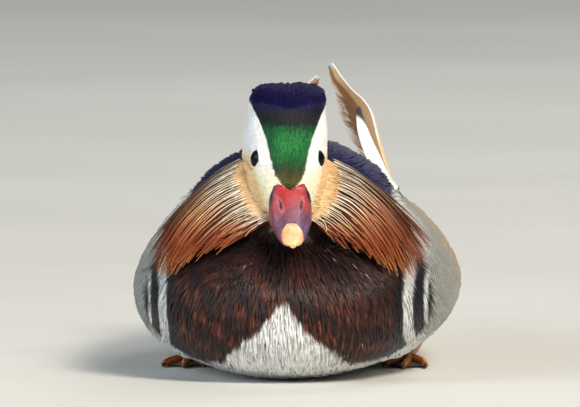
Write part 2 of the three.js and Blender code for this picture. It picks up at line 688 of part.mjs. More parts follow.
/** Point over the back at x, y and a height over the skin. */
function overBack(x, y, high) {
  const [, wide, , top, side, above] = body.profile.at(y);
  const reach = Math.max(1 - (Math.abs(x) / wide) ** above, 0) ** (1 / above);
  return body.place(V(x, y, side + (top - side) * reach), high);
}
function wingPad(side, extra) {
  const grid = [];
  const thick = (u) => (u < 0.4 ? mix(1.4, 1.9, u / 0.4) : mix(1.9, 1.0, (u - 0.4) / 0.6));
  for (let i = 0; i <= 10; i += 1) {
    const u = i / 10;
    const row = [];
    for (let j = 0; j <= 3; j += 1) {
      const p = WING_UPPER(u).lerp(WING_LOWER(u), j / 3);
      row.push(overBack(p.x * side, p.y, 0.45 + thick(u) / 2));
    }
    grid.push(row);
  }
  return solid(sheet(grid, (u) => thick(u) + extra * 2));
}
// root x, y, tip x, y, half width, height at the tip, pointed
const WING_VANES = [
  [31, -6, 30.5, 34, 4.2, 3.3, false], [30.5, 11, 29.5, 50, 4.2, 3.3, false], [29.5, 28, 26, 68, 4.2, 3.4, false],
  [39, -4, 39.6, 24, 3.2, 3.2, false], [39.6, 8, 39.4, 36, 3.2, 3.3, false],
  [25, 48, 20.5, 92, 4.2, 3.4, false], [21.5, 66, 15.5, 116, 4.2, 3.6, false],
  [39.5, 98, 31, 142, 4, 3.2, false], [37, 104, 25.5, 158, 4.2, 4.1, false],
  [33, 108, 17, 182, 4.4, 2.5, true], [30, 110, 13.5, 190, 4.4, 3.4, true], [27, 112, 10.6, 195, 4.2, 4.3, true],
  [24, 114, 8.2, 192, 4, 5.2, true], [21, 116, 6.6, 184, 3.8, 6.1, true],
];
function wingVane(side, [x0, y0, x1, y1, half, high, pointed]) {
  const line = (t) => {
    const point = overBack(mix(x0, x1, t) * side, mix(y0, y1, t), mix(1.3, high, t));
    return { point, way: body.height(point).way.normalize() };
  };
  return vane(line, { rows: 4, width: outline(half, pointed), cup: 0.08, thick: 0.5 });
}
for (const [name, side] of [['left', 1], ['right', -1]]) {
  let wing = wingPad(side, 0);
  for (const spec of WING_VANES) wing = wing.add(wingVane(side, spec));
  add(`wing_${name}`, largest(wing.subtract(trunkCut)), 0x3a3a2c, 0.65);
}

// Sails and blades
// leading and trailing edge of the upright sail feather of the duck's left wing
const SAIL_LEAD = [V(42, 66, 72), V(40.5, 72, 78), V(36.6, 80, 87), V(33.5, 86, 95.6), V(31.5, 90, 103),
  V(29.1, 95, 110), V(25.7, 98, 114.8), V(21.5, 100, 118.4), V(17.3, 102, 123), V(11.3, 105, 131.2)];
const SAIL_TRAIL = [V(34, 104, 70), V(31, 109, 78), V(26, 117, 86), V(22, 122, 93), V(18, 125, 100),
  V(15.5, 126, 107), V(14, 125, 112), V(13, 122, 117), V(11, 117, 122), V(9.5, 108, 129.6)];
const SAIL_LEAN = { 1: 0, '-1': 0.29 }; // how far each sail leans to the duck's left, by height
const SAIL_SCALE = { 1: 1, '-1': 0.9 };

function sailGrid(side, rows, columns) {
  const lead = path(SAIL_LEAD);
  const trail = path(SAIL_TRAIL);
  const grid = [];
  for (let i = 0; i <= rows; i += 1) {
    const t = i / rows;
    const row = [];
    for (let j = 0; j <= columns; j += 1) {
      const fray = i % 2 === 1 && i > 2 && j === columns ? 0.86 : 1;
      const v = (j / columns) * fray;
      const p = lead(t).lerp(trail(t), v);
      p.x += 5.5 * Math.sin(Math.PI * v) * Math.sin(Math.PI * Math.min(t * 1.1, 1));
      const rise = (p.z - 72) * SAIL_SCALE[side];
      row.push(V(p.x * side + SAIL_LEAN[side] * rise, p.y, 72 + rise));
    }
    grid.push(row);
  }
  return grid;
}
function bladeGrid(side, rows, columns) {
  const rise = side > 0 ? 1 : 0.66;
  const middle = path([V(42.6, 32, 67), V(38.6, 45, 78.5), V(33.2, 56, 89), V(27.6, 70, 100.5),
    V(24, 85, 111.6)]);
  const width = path([V(3.4, 0, 0), V(4.8, 0, 0), V(5, 0, 0), V(3.6, 0, 0), V(0.7, 0, 0)]);
  const grid = [];
  for (let i = 0; i <= rows; i += 1) {
    const t = i / rows;
    const p = middle(t);
    const z = 68 + (p.z - 68) * rise;
    const w = width(t).x;
    const row = [];
    for (let j = 0; j <= columns; j += 1) {
      const v = (j / columns) * 2 - 1;
      const cup = 1 - v * v;
      const q = V((p.x + v * w * 0.78 + cup * 0.9) * side, p.y + v * w * 0.35, z - v * w * 0.3 + cup * 0.6);
      row.push(i > 1 ? body.clear(q, Math.min(2.4 + i, 5.2)) : q);
    }
    grid.push(row);
  }
  return grid;
}
for (const [name, side] of [['left', 1], ['right', -1]]) {
  const cut = wingPad(side, SEAM).add(trunkCut);
  add(`sail_${name}`, largest(solid(sheet(sailGrid(side, 17, 4), () => 0.8)).subtract(cut)), 0xc9803a, 0.7);
  add(`blade_${name}`, largest(solid(sheet(bladeGrid(side, 8, 2), () => 0.9)).subtract(cut)), 0xdfe6ea, 0.7);
}

// Tail
const tailRoot = whole.intersect(block([-FAR, TAIL_Y + gap, -FAR], [FAR, FAR, FAR]));
const RECTRICES = 10;
const TAIL_LONG = 78; // longest tail feather from root to end
const TAIL_STEP = 0.85; // each feather lies this much under the one before
const TAIL_SPREAD = 3.1; // degrees between neighbours
let tail = tailRoot;
for (let i = 0; i < RECTRICES; i += 1) {
  const side = i % 2 === 0 ? 1 : -1;
  const rank = Math.floor(i / 2) + 0.5;
  const turn = rad(rank * TAIL_SPREAD * side);
  const long = TAIL_LONG - rank * 2.6;
  const root = V(rank * 1.1 * side, 186, 65.6 - i * TAIL_STEP);
  const line = (t) => ({
    point: root.clone().add(V(Math.sin(turn) * long * t, Math.cos(turn) * long * t, 2.2 * t + 1.6 * t * t)),
    way: V(0.1 * side * rank * 0.4, -0.05, 1).normalize(),
  });
  tail = tail.add(vane(line, { rows: 4, width: outline(6.4, false), cup: 0.06, thick: 0.5 }));
}
add('tail', largest(tail), 0x3c3524, 0.7);

// Legs
/** Tapered limb through points with a radius at each. */
function limb(points, radii, around = 8, flat = 1) {
  const rings = points.map((p, i) => {
    const ahead = points[Math.min(i + 1, points.length - 1)].clone()
      .sub(points[Math.max(i - 1, 0)]).normalize();
    const across = V(0, 0, 1).cross(ahead);
    if (across.length() < 0.2) across.set(1, 0, 0);
    across.normalize();
    const up = ahead.clone().cross(across);
    const circle = [];
    for (let j = 0; j < around; j += 1) {
      const angle = (2 * Math.PI * j) / around;
      circle.push(p.clone().addScaledVector(across, Math.cos(angle) * radii[i])
        .addScaledVector(up, Math.sin(angle) * radii[i] * flat));
    }
    return circle;
  });
  return solid(loft(rings));
}
// toes of the duck's left foot, from the knuckle to the last joint, in x and y
const HEEL = V(50, 76, 4.6);
const KNUCKLE = V(49, 37, 2.6);
const TOES = [
  [V(48.1, 36.4, 2.3), V(45, 22, 2.0), V(42, 8, 1.8), V(40.5, -4, 1.6)],
  [V(49.1, 35.7, 2.4), V(49.5, 20, 2.1), V(49.5, 4, 1.9), V(49, -11, 1.6)],
  [V(50.2, 36.8, 2.35), V(54, 22, 2.0), V(57, 8, 1.8), V(58.5, -5, 1.6)],
];
const HIND_TOE = [V(49, 41, 2.2), V(44, 46, 1.8), V(40.6, 49, 1.5)];

function footSolid() {
  let foot = limb([V(52, 84, 15), V(51, 80, 8.5), HEEL, V(49.6, 58, 3.6), KNUCKLE.clone().setY(43), KNUCKLE],
    [5.2, 3.9, 3.1, 2.5, 2.6, 2.6]);
  for (const toe of TOES) {
    foot = foot.add(limb(toe, [2.1, 1.9, 1.7, 1.3], 6));
    const end = toe[3];
    const ahead = end.clone().sub(toe[2]).normalize();
    const claw = [end.clone().addScaledVector(ahead, -1.5), end.clone().addScaledVector(ahead, 2.6),
      end.clone().addScaledVector(ahead, 5.2)];
    claw[1].z = 1.5;
    claw[2].z = 0.75;
    foot = foot.add(limb(claw, [1.15, 0.85, 0.3], 6));
  }
  foot = foot.add(limb(HIND_TOE, [1.7, 1.3, 0.9], 6));
  const web = (a, b) => {
    const grid = [];
    for (let i = 0; i <= 4; i += 1) {
      const t = i / 4;
      const p = path(TOES[a])(t * 0.97);
      const q = path(TOES[b])(t * 0.97);
      const row = [];
      for (let j = 0; j <= 4; j += 1) {
        const m = p.clone().lerp(q, j / 4);
        m.y += 5.5 * t * Math.sin((Math.PI * j) / 4);
        m.z = 0.75;
        row.push(m);
      }
      grid.push(row);
    }
    return solid(sheet(grid.slice(1), () => 1.1));
  };
  foot = foot.add(web(0, 1)).add(web(1, 2));
  return foot.subtract(block([-FAR, -FAR, -FAR], [FAR, FAR, 0]));
}
const leftLeg = largest(footSolid().subtract(trunkCut));
add('leg_left', leftLeg, 0xc8762a, 0.55);
add('leg_right', largest(leftLeg.mirror([1, 0, 0])), 0xc8762a, 0.55);

export default group;
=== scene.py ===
"""A drake mandarin duck at life size on its belly: skin, plumage, bill, eyes, legs, light and camera."""

import logging
import math
from collections.abc import Callable, Sequence
from dataclasses import dataclass, field
from enum import Enum

import bpy
import numpy as np
from mathutils.bvhtree import BVHTree
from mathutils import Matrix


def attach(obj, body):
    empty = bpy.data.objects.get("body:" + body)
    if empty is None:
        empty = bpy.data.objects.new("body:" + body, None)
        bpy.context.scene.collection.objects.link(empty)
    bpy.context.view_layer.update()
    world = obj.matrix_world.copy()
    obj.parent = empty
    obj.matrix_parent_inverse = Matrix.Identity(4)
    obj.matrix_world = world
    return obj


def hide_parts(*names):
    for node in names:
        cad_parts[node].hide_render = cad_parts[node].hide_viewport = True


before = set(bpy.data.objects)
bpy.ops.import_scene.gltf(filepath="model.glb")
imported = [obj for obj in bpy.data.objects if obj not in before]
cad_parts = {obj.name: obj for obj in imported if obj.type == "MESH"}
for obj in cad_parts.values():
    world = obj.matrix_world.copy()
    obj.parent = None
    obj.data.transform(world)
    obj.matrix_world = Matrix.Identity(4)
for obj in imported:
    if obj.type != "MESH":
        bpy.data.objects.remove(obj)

LOG = logging.getLogger("duck")
MM = 0.001
SIDES = {1: "left", -1: "right"}
Array = np.ndarray
Numbers = tuple[float, ...]
Rows = tuple[Numbers, ...]
Triple = tuple[float, float, float]
Piece = bpy.types.Object
Material = bpy.types.Material
Socket = bpy.types.NodeSocket


# Shared helpers
def srgb(red: float, green: float, blue: float) -> Triple:
    """Turn a colour as seen, 0 to 255, into the linear values that shaders read.

    Args:
        red: Red as seen.
        green: Green as seen.
        blue: Blue as seen.

    Returns:
        The three linear values.
    """
    parts = [part / 255 for part in (red, green, blue)]
    return tuple(part / 12.92 if part <= 0.04045 else ((part + 0.055) / 1.055) ** 2.4 for part in parts)


def step(low: float, high: float, value: Array) -> Array:
    """Rise smoothly from 0 at low to 1 at high.

    Args:
        low: Where the rise starts.
        high: Where it ends; it may be the smaller one.
        value: What is measured.

    Returns:
        The share risen, 0 to 1.
    """
    share = np.clip((np.asarray(value, float) - low) / (high - low), 0, 1)
    return share * share * (3 - 2 * share)


def blend(first: Array, second: Array, share: Array) -> Array:
    """Mix two colours or points by a share that has one value for each.

    Args:
        first: What share 0 gives.
        second: What share 1 gives.
        share: One value for each row.

    Returns:
        The mixture.
    """
    part = np.asarray(share)[..., None]
    return np.asarray(first) * (1 - part) + np.asarray(second) * part


def unit(vectors: Array) -> Array:
    """Bring vectors to length 1."""
    return vectors / np.maximum(np.linalg.norm(vectors, axis=-1, keepdims=True), 1e-9)


def layered(base: Array, *coats: tuple[Array, Array]) -> Array:
    """Lay colours over a first one, each by its share.

    Args:
        base: The colour below all others.
        coats: Pairs of a colour and its share.

    Returns:
        The colour on top.
    """
    for colour, share in coats:
        base = blend(base, colour, share)
    return base


def glossed(tones: Array, gloss: Array | float = 0.0) -> Array:
    """Add a gloss to colours as their fourth value."""
    tones = np.asarray(tones)
    return np.concatenate([tones, np.broadcast_to(gloss, tones.shape[:-1])[..., None]], -1)


def full_turn(count: int) -> Array:
    """Give evenly spaced angles of one full turn."""
    return np.linspace(0, 2 * math.pi, count, endpoint=False)


def hoops(rows: int, around: int) -> Array:
    """Number the faces between closed rings of points.

    Args:
        rows: Number of rings.
        around: Number of points to a ring.

    Returns:
        Four indices for each face, by row and turn.
    """
    index = np.arange(rows * around).reshape(rows, around)
    after = np.roll(index, -1, axis=1)
    return np.stack([index[:-1], after[:-1], after[1:], index[1:]], -1)


def squares(index: Array) -> Array:
    """Number the faces of sheets whose points are numbered by sheet, row and column."""
    return np.stack([index[:, :-1, :-1], index[:, :-1, 1:], index[:, 1:, 1:], index[:, 1:, :-1]], -1)


def evenly(rows: int, columns: int) -> Array:
    """Spread UVs evenly over one sheet."""
    return np.stack(np.meshgrid(np.linspace(0, 1, columns), np.linspace(0, 1, rows)), -1)


def linked(name: str, data: bpy.types.ID) -> Piece:
    """Make an object of its data and link it to the scene.

    Args:
        name: Name of the object.
        data: Its mesh, curve, camera or light.

    Returns:
        The new object.
    """
    piece = bpy.data.objects.new(name, data)
    bpy.context.scene.collection.objects.link(piece)
    return piece


def finished(piece: Piece) -> bpy.types.Mesh:
    """Take the mesh that an object's modifiers make, and remove the object.

    Args:
        piece: An object with modifiers.

    Returns:
        The mesh with the modifiers applied.
    """
    mesh = bpy.data.meshes.new_from_object(piece.evaluated_get(bpy.context.evaluated_depsgraph_get()))
    bpy.data.objects.remove(piece)
    return mesh


def hermite(part: Array, start: Array, enter: Array, end: Array, leave: Array) -> Array:
    """Follow a cubic by the share of the way, from one value and slope to the next."""
    first = (2 * part**3 - 3 * part**2 + 1) * start + (part**3 - 2 * part**2 + part) * enter
    return first + (3 * part**2 - 2 * part**3) * end + (part**3 - part**2) * leave


def mottle(points: Array, size: float, seed: int) -> Array:
    """Give an uneven value from -1 to 1 that changes over about one size.

    Args:
        points: Where it is read, in mm.
        size: Distance over which it changes, in mm.
        seed: Which of the patterns to use.

    Returns:
        One value for each point.
    """
    dice = np.random.default_rng(seed)
    total = np.zeros(points.shape[:-1])
    for _ in range(5):
        wave = dice.normal(size=3) / size * 1.6
        total += np.sin(points @ wave + dice.uniform(0, 6.28))
    return total / 3.2


# Colours and forms
@dataclass(frozen=True)
class Palette:
    """Colours of the living bird as seen in even light, and a bronze for painted glints."""

    maroon: Triple = srgb(84, 36, 24)
    maroon_black: Triple = srgb(32, 15, 14)
    # Painted glints of light on the lower breast.
    bronze_glint: Triple = srgb(150, 84, 52)
    black: Triple = srgb(14, 15, 20)
    white: Triple = srgb(250, 252, 250)
    cream: Triple = srgb(254, 244, 212)
    buff: Triple = srgb(255, 216, 160)
    buff_deep: Triple = srgb(240, 194, 138)
    navy: Triple = srgb(10, 5, 56)
    violet: Triple = srgb(18, 10, 56)
    green: Triple = srgb(10, 112, 46)
    green_deep: Triple = srgb(6, 46, 36)
    olive: Triple = srgb(88, 80, 30)
    copper: Triple = srgb(116, 52, 34)
    mantle: Triple = srgb(26, 24, 76)
    brown: Triple = srgb(54, 42, 32)
    brown_green: Triple = srgb(28, 42, 36)
    flank: Triple = srgb(150, 152, 144)
    flank_buff: Triple = srgb(202, 164, 106)
    chestnut: Triple = srgb(150, 78, 34)
    straw: Triple = srgb(246, 220, 172)
    sail: Triple = srgb(250, 186, 132)
    sail_pale: Triple = srgb(255, 216, 174)
    silver: Triple = srgb(164, 170, 174)
    speculum: Triple = srgb(20, 88, 104)
    bill_red: Triple = srgb(174, 42, 44)
    bill_violet: Triple = srgb(114, 72, 94)
    bill_slate: Triple = srgb(90, 84, 130)
    bill_pink: Triple = srgb(208, 104, 96)
    nail: Triple = srgb(238, 186, 132)
    leg: Triple = srgb(206, 122, 50)
    web: Triple = srgb(52, 46, 42)
    horn: Triple = srgb(44, 38, 34)
    iris: Triple = srgb(18, 10, 8)


COLOUR = Palette()


@dataclass(frozen=True)
class Form:
    """A smooth closed form with sections across Y that are two half super-ellipses, in mm.

    Each row holds Y, half width, underside, top, height of greatest width and the power above and below.
    """

    rows: Rows
    yaw: float = 0.0
    pivot: tuple[float, float] = (0.0, 0.0)
    lean: float = 0.0
    lean_from: float = 102.0

    def sizes(self, along: Array) -> Array:
        """Read the six sizes at each Y from monotone cubics through the rows.

        Args:
            along: Values of Y in the form's own axes.

        Returns:
            One row of six sizes for each.
        """
        table = np.array(self.rows)
        knots = table[:, 0]
        values = table[:, 1:]
        gaps = np.diff(knots)
        chords = np.diff(values, axis=0) / gaps[:, None]
        same = chords[:-1] * chords[1:] > 0
        total = np.where(same, chords[:-1] + chords[1:], 1)
        inner = np.where(same, 2 * chords[:-1] * chords[1:] / total, 0)
        slopes = np.vstack([chords[:1], inner, chords[-1:]])
        spot = np.clip(along, knots[0], knots[-1])
        index = np.clip(np.searchsorted(knots, spot) - 1, 0, len(knots) - 2)
        gap = gaps[index]
        share = ((spot - knots[index]) / gap)[..., None]
        rise = gap[..., None]
        return hermite(share, values[index], rise * slopes[index], values[index + 1],
            rise * slopes[index + 1])

    def out(self, points: Array) -> Array:
        """Take points from the form's own axes to the duck's.

        Args:
            points: Points in the form's axes, in mm.

        Returns:
            The points in the duck's axes.
        """
        turn = math.radians(self.yaw)
        x = points[..., 0] + self.lean * np.maximum(points[..., 2] - self.lean_from, 0)
        y = points[..., 1] - self.pivot[1]
        across = self.pivot[0] + x * math.cos(turn) - y * math.sin(turn)
        along = self.pivot[1] + x * math.sin(turn) + y * math.cos(turn)
        return np.stack([across, along, points[..., 2]], -1)

    def into(self, points: Array) -> Array:
        """Take points from the duck's axes to the form's own.

        Args:
            points: Points in the duck's axes, in mm.

        Returns:
            The points in the form's axes.
        """
        turn = math.radians(self.yaw)
        x = points[..., 0] - self.pivot[0]
        y = points[..., 1] - self.pivot[1]
        across = x * math.cos(turn) + y * math.sin(turn)
        across = across - self.lean * np.maximum(points[..., 2] - self.lean_from, 0)
        along = self.pivot[1] - x * math.sin(turn) + y * math.cos(turn)
        return np.stack([across, along, points[..., 2]], -1)

    def local(self, along: Array, angle: Array) -> Array:
        """Find points of the surface in the form's own axes.

        Args:
            along: Values of Y.
            angle: Angles round the section, 0 at +X and a quarter turn at the top.

        Returns:
            The points.
        """
        wide, low, top, side, above, below = np.moveaxis(self.sizes(along), -1, 0)
        rising = np.sin(angle) >= 0
        power = 2 / np.where(rising, above, below)
        reach = np.where(rising, top - side, side - low)
        x = wide * np.sign(np.cos(angle)) * np.abs(np.cos(angle)) ** power
        z = side + reach * np.sign(np.sin(angle)) * np.abs(np.sin(angle)) ** power
        return np.stack([x, along + 0 * x, z], -1)

    def surface(self, along: Array, angle: Array, lift: Array | float = 0.0) -> Array:
        """Find points of the surface in the duck's axes, moved out by a lift.

        Args:
            along: Values of Y in the form's own axes.
            angle: Angles round the section.
            lift: How far outside the form, in mm.

        Returns:
            The points.
        """
        near = self.local(along, angle)
        ends = (self.rows[0][0], self.rows[-1][0])
        fore = self.local(np.minimum(along + 0.05, ends[1]), angle)
        back = self.local(np.maximum(along - 0.05, ends[0]), angle)
        turn = self.local(along, angle + 0.01) - self.local(along, angle - 0.01)
        normal = unit(np.cross(fore - back, turn))
        return self.out(near + normal * np.asarray(lift + 0 * along)[..., None])

    def height(self, points: Array) -> Array:
        """Estimate how far points in the duck's axes are outside the form, in mm.

        Args:
            points: Any number of points, in mm.

        Returns:
            The heights in mm, 0 inside.
        """
        own = self.into(points)
        probe = 0.05

        def value(spot: Array) -> Array:
            """Read the super-ellipse value, 0 on the surface.

            Args:
                spot: Points in the form's axes.

            Returns:
                The values, below 0 inside.
            """
            wide, low, top, side, above, below = np.moveaxis(self.sizes(spot[..., 1]), -1, 0)
            rise = spot[..., 2] - side
            power = np.where(rise >= 0, above, below)
            reach = np.maximum(np.where(rise >= 0, top - side, side - low), 0.3)
            part = (np.abs(spot[..., 0]) / np.maximum(wide, 0.3)) ** power
            part = part + (np.abs(rise) / reach) ** power
            return np.maximum(part, 1e-9) ** (1 / power) - 1

        here = value(own)
        slope = np.zeros_like(own)
        for axis in range(3):
            shift = np.zeros(3)
            shift[axis] = probe
            slope[..., axis] = (value(own + shift) - value(own - shift)) / (2 * probe)
        past = np.maximum(np.maximum(self.rows[0][0] - own[..., 1], own[..., 1] - self.rows[-1][0]), 0)
        wide, low, top = np.moveaxis(self.sizes(own[..., 1])[..., :3], -1, 0)
        least = np.maximum(here, 0) * 0.4 * np.minimum(wide, (top - low) / 2)
        return np.maximum(here / np.maximum(np.linalg.norm(slope, axis=-1), 1e-3), least) + past

    def clear(self, points: Array, least: float) -> Array:
        """Push points that lie lower than a height out to it.

        Args:
            points: Points in the duck's axes.
            least: Lowest height allowed over the form, in mm.

        Returns:
            The points, moved where needed.
        """
        moved = points.copy()
        for _ in range(8):
            short = np.maximum(least - self.height(moved), 0)
            shifts = np.eye(3) * 0.1
            slope = np.stack([self.height(moved + one) - self.height(moved - one) for one in shifts], -1)
            moved = moved + unit(slope) * (short * 0.8)[..., None]
        return moved

    def arc(self, along: Array) -> Array:
        """Measure the share of the side's length up to each Y, for an even unwrap.

        Args:
            along: Values of Y, in mm.

        Returns:
            The shares, 0 to 1.
        """
        spots = np.linspace(self.rows[0][0], self.rows[-1][0], 400)
        wide = self.sizes(spots)[:, 0]
        pieces = np.hypot(np.diff(spots), np.diff(wide))
        length = np.concatenate([[0], np.cumsum(pieces)])
        return np.interp(along, spots, length / length[-1])


HEAD_TURN = 6.7
HEAD_PIVOT = (-1.0, -68.0)
HEAD_LEAN = 0.085
BODY = Form(((-117.6, 0, 34, 34, 34, 2, 2), (-117, 9, 25, 41, 33, 2, 2), (-115, 18, 18.5, 45.5, 33, 2, 2),
    (-111, 29, 12.5, 51.5, 33.5, 2, 2), (-105, 39.5, 7.5, 58, 34, 2, 2), (-96, 48.5, 3.4, 64.5, 34.5, 2, 2),
    (-85, 55, 0.8, 71, 35, 2, 2), (-70, 60.5, -0.8, 79.5, 35, 1.95, 2),
    (-50, 65.5, -1.6, 90.5, 35, 1.76, 2), (-20, 69, -1.8, 100, 36, 1.6, 2),
    (20, 71.1, -1.8, 95, 37.5, 1.54, 2), (60, 69.6, -1.2, 89.5, 37.5, 1.6, 2),
    (95, 63.5, 2.4, 85, 38.5, 1.75, 2), (125, 53, 12.5, 81, 43.5, 1.85, 2),
    (150, 41.5, 26.5, 78, 50, 1.95, 2), (172, 28.5, 40, 74.5, 57, 2, 2),
    (190, 18.5, 49.5, 71.5, 60.5, 2, 2), (202, 11, 55.5, 68.5, 62, 2, 2), (207, 0, 62.5, 62.5, 62.5, 2, 2)))
HEAD = Form(((-104.6, 0, 82, 82, 82, 2, 2), (-104, 5.6, 75.5, 88.4, 82, 2, 2),
    (-102.4, 8.6, 72.4, 92.4, 82.5, 2, 2), (-99, 11.4, 70.3, 99.4, 84, 2.1, 2),
    (-94, 13.8, 69.8, 107, 87.5, 2.4, 2), (-88, 16, 70.6, 114, 90.5, 2.8, 2.1),
    (-81, 17.9, 72.8, 119.6, 93, 3.0, 2.2), (-73, 19, 76.6, 124, 95.5, 3.1, 2.2),
    (-64, 19.4, 81.2, 126.4, 98, 3.2, 2.2), (-54, 18.2, 88, 126, 102.5, 3.0, 2.1),
    (-46, 15.2, 94.6, 122.6, 106.5, 2.6, 2), (-40, 10.6, 100.4, 117.4, 108.5, 2.2, 2),
    (-36.6, 5.2, 104.6, 112.6, 108.6, 2, 2), (-35.6, 0, 108.6, 108.6, 108.6, 2, 2)), HEAD_TURN, HEAD_PIVOT,
    HEAD_LEAN)
CREST = Form(((-86.5, 0, 117, 117, 117, 2, 2), (-85.4, 5, 114.5, 119, 116.5, 2, 2),
    (-80, 12, 112, 124, 118, 2.6, 2), (-73, 16.2, 110, 128.4, 119, 3.2, 2),
    (-65, 18.1, 108, 130.6, 119.5, 3.4, 2), (-55, 18.2, 106.5, 131, 119, 3.2, 2),
    (-45, 16.6, 105.5, 129.6, 117.5, 3, 2), (-35, 14.2, 105, 125.8, 115.5, 2.6, 2),
    (-25, 11.2, 105, 121, 113, 2.3, 2), (-15, 8, 105, 115.6, 110.3, 2, 2),
    (-6, 4.8, 104.6, 110.6, 107.6, 2, 2), (2, 0, 105, 105, 105, 2, 2)), HEAD_TURN, HEAD_PIVOT, HEAD_LEAN)


def smooth_path(points: Sequence, shares: Array) -> Array:
    """Follow a centripetal curve through points.

    Args:
        points: The points or numbers that the curve passes.
        shares: Where to read it, 0 to 1, the points being evenly spaced.

    Returns:
        One point for each share.
    """
    knots = np.array(points, float).reshape(len(points), -1)
    first = 2 * knots[0] - knots[1]
    last = 2 * knots[-1] - knots[-2]
    whole = np.vstack([first, knots, last])
    place = np.clip(np.asarray(shares, float), 0, 1) * (len(knots) - 1)
    index = np.clip(place.astype(int), 0, len(knots) - 2)
    part = (place - index)[..., None]
    a, b, c, d = (whole[index + shift] for shift in range(4))
    spans = [np.linalg.norm(q - p, axis=-1, keepdims=True) ** 0.5 for p, q in ((a, b), (b, c), (c, d))]
    start, middle, end = (np.maximum(span, 1e-6) for span in spans)
    enter = (b - a) / start - (c - a) / (start + middle) + (c - b) / middle
    leave = (c - b) / middle - (d - b) / (middle + end) + (d - c) / end
    return hermite(part, b, enter * middle, c, leave * middle)


def ring(top: Array, low: Array, wide: Array, turn: Array, above: float, below: float,
        middle: float) -> Array:
    """Shape a section that leans between a top and a low point.

    Args:
        top: Y and Z of the highest point of each section.
        low: Y and Z of the lowest point of each section.
        wide: Half width of each section.
        turn: Angles round the section.
        above: Power of the upper half.
        below: Power of the lower half.
        middle: Share of the height where the section is widest.

    Returns:
        Points, one row for each section.
    """
    cosine = np.cos(turn)[None, :]
    sine = np.sin(turn)[None, :]
    power = 2 / np.where(sine >= 0, above, below)
    x = wide[:, None] * np.sign(cosine) * np.abs(cosine) ** power
    rise = np.sign(sine) * np.abs(sine) ** power
    share = np.where(rise >= 0, middle + (1 - middle) * rise, middle + middle * rise)[..., None]
    centre = low[:, None, :] * (1 - share) + top[:, None, :] * share
    return np.concatenate([x[..., None], centre], -1)


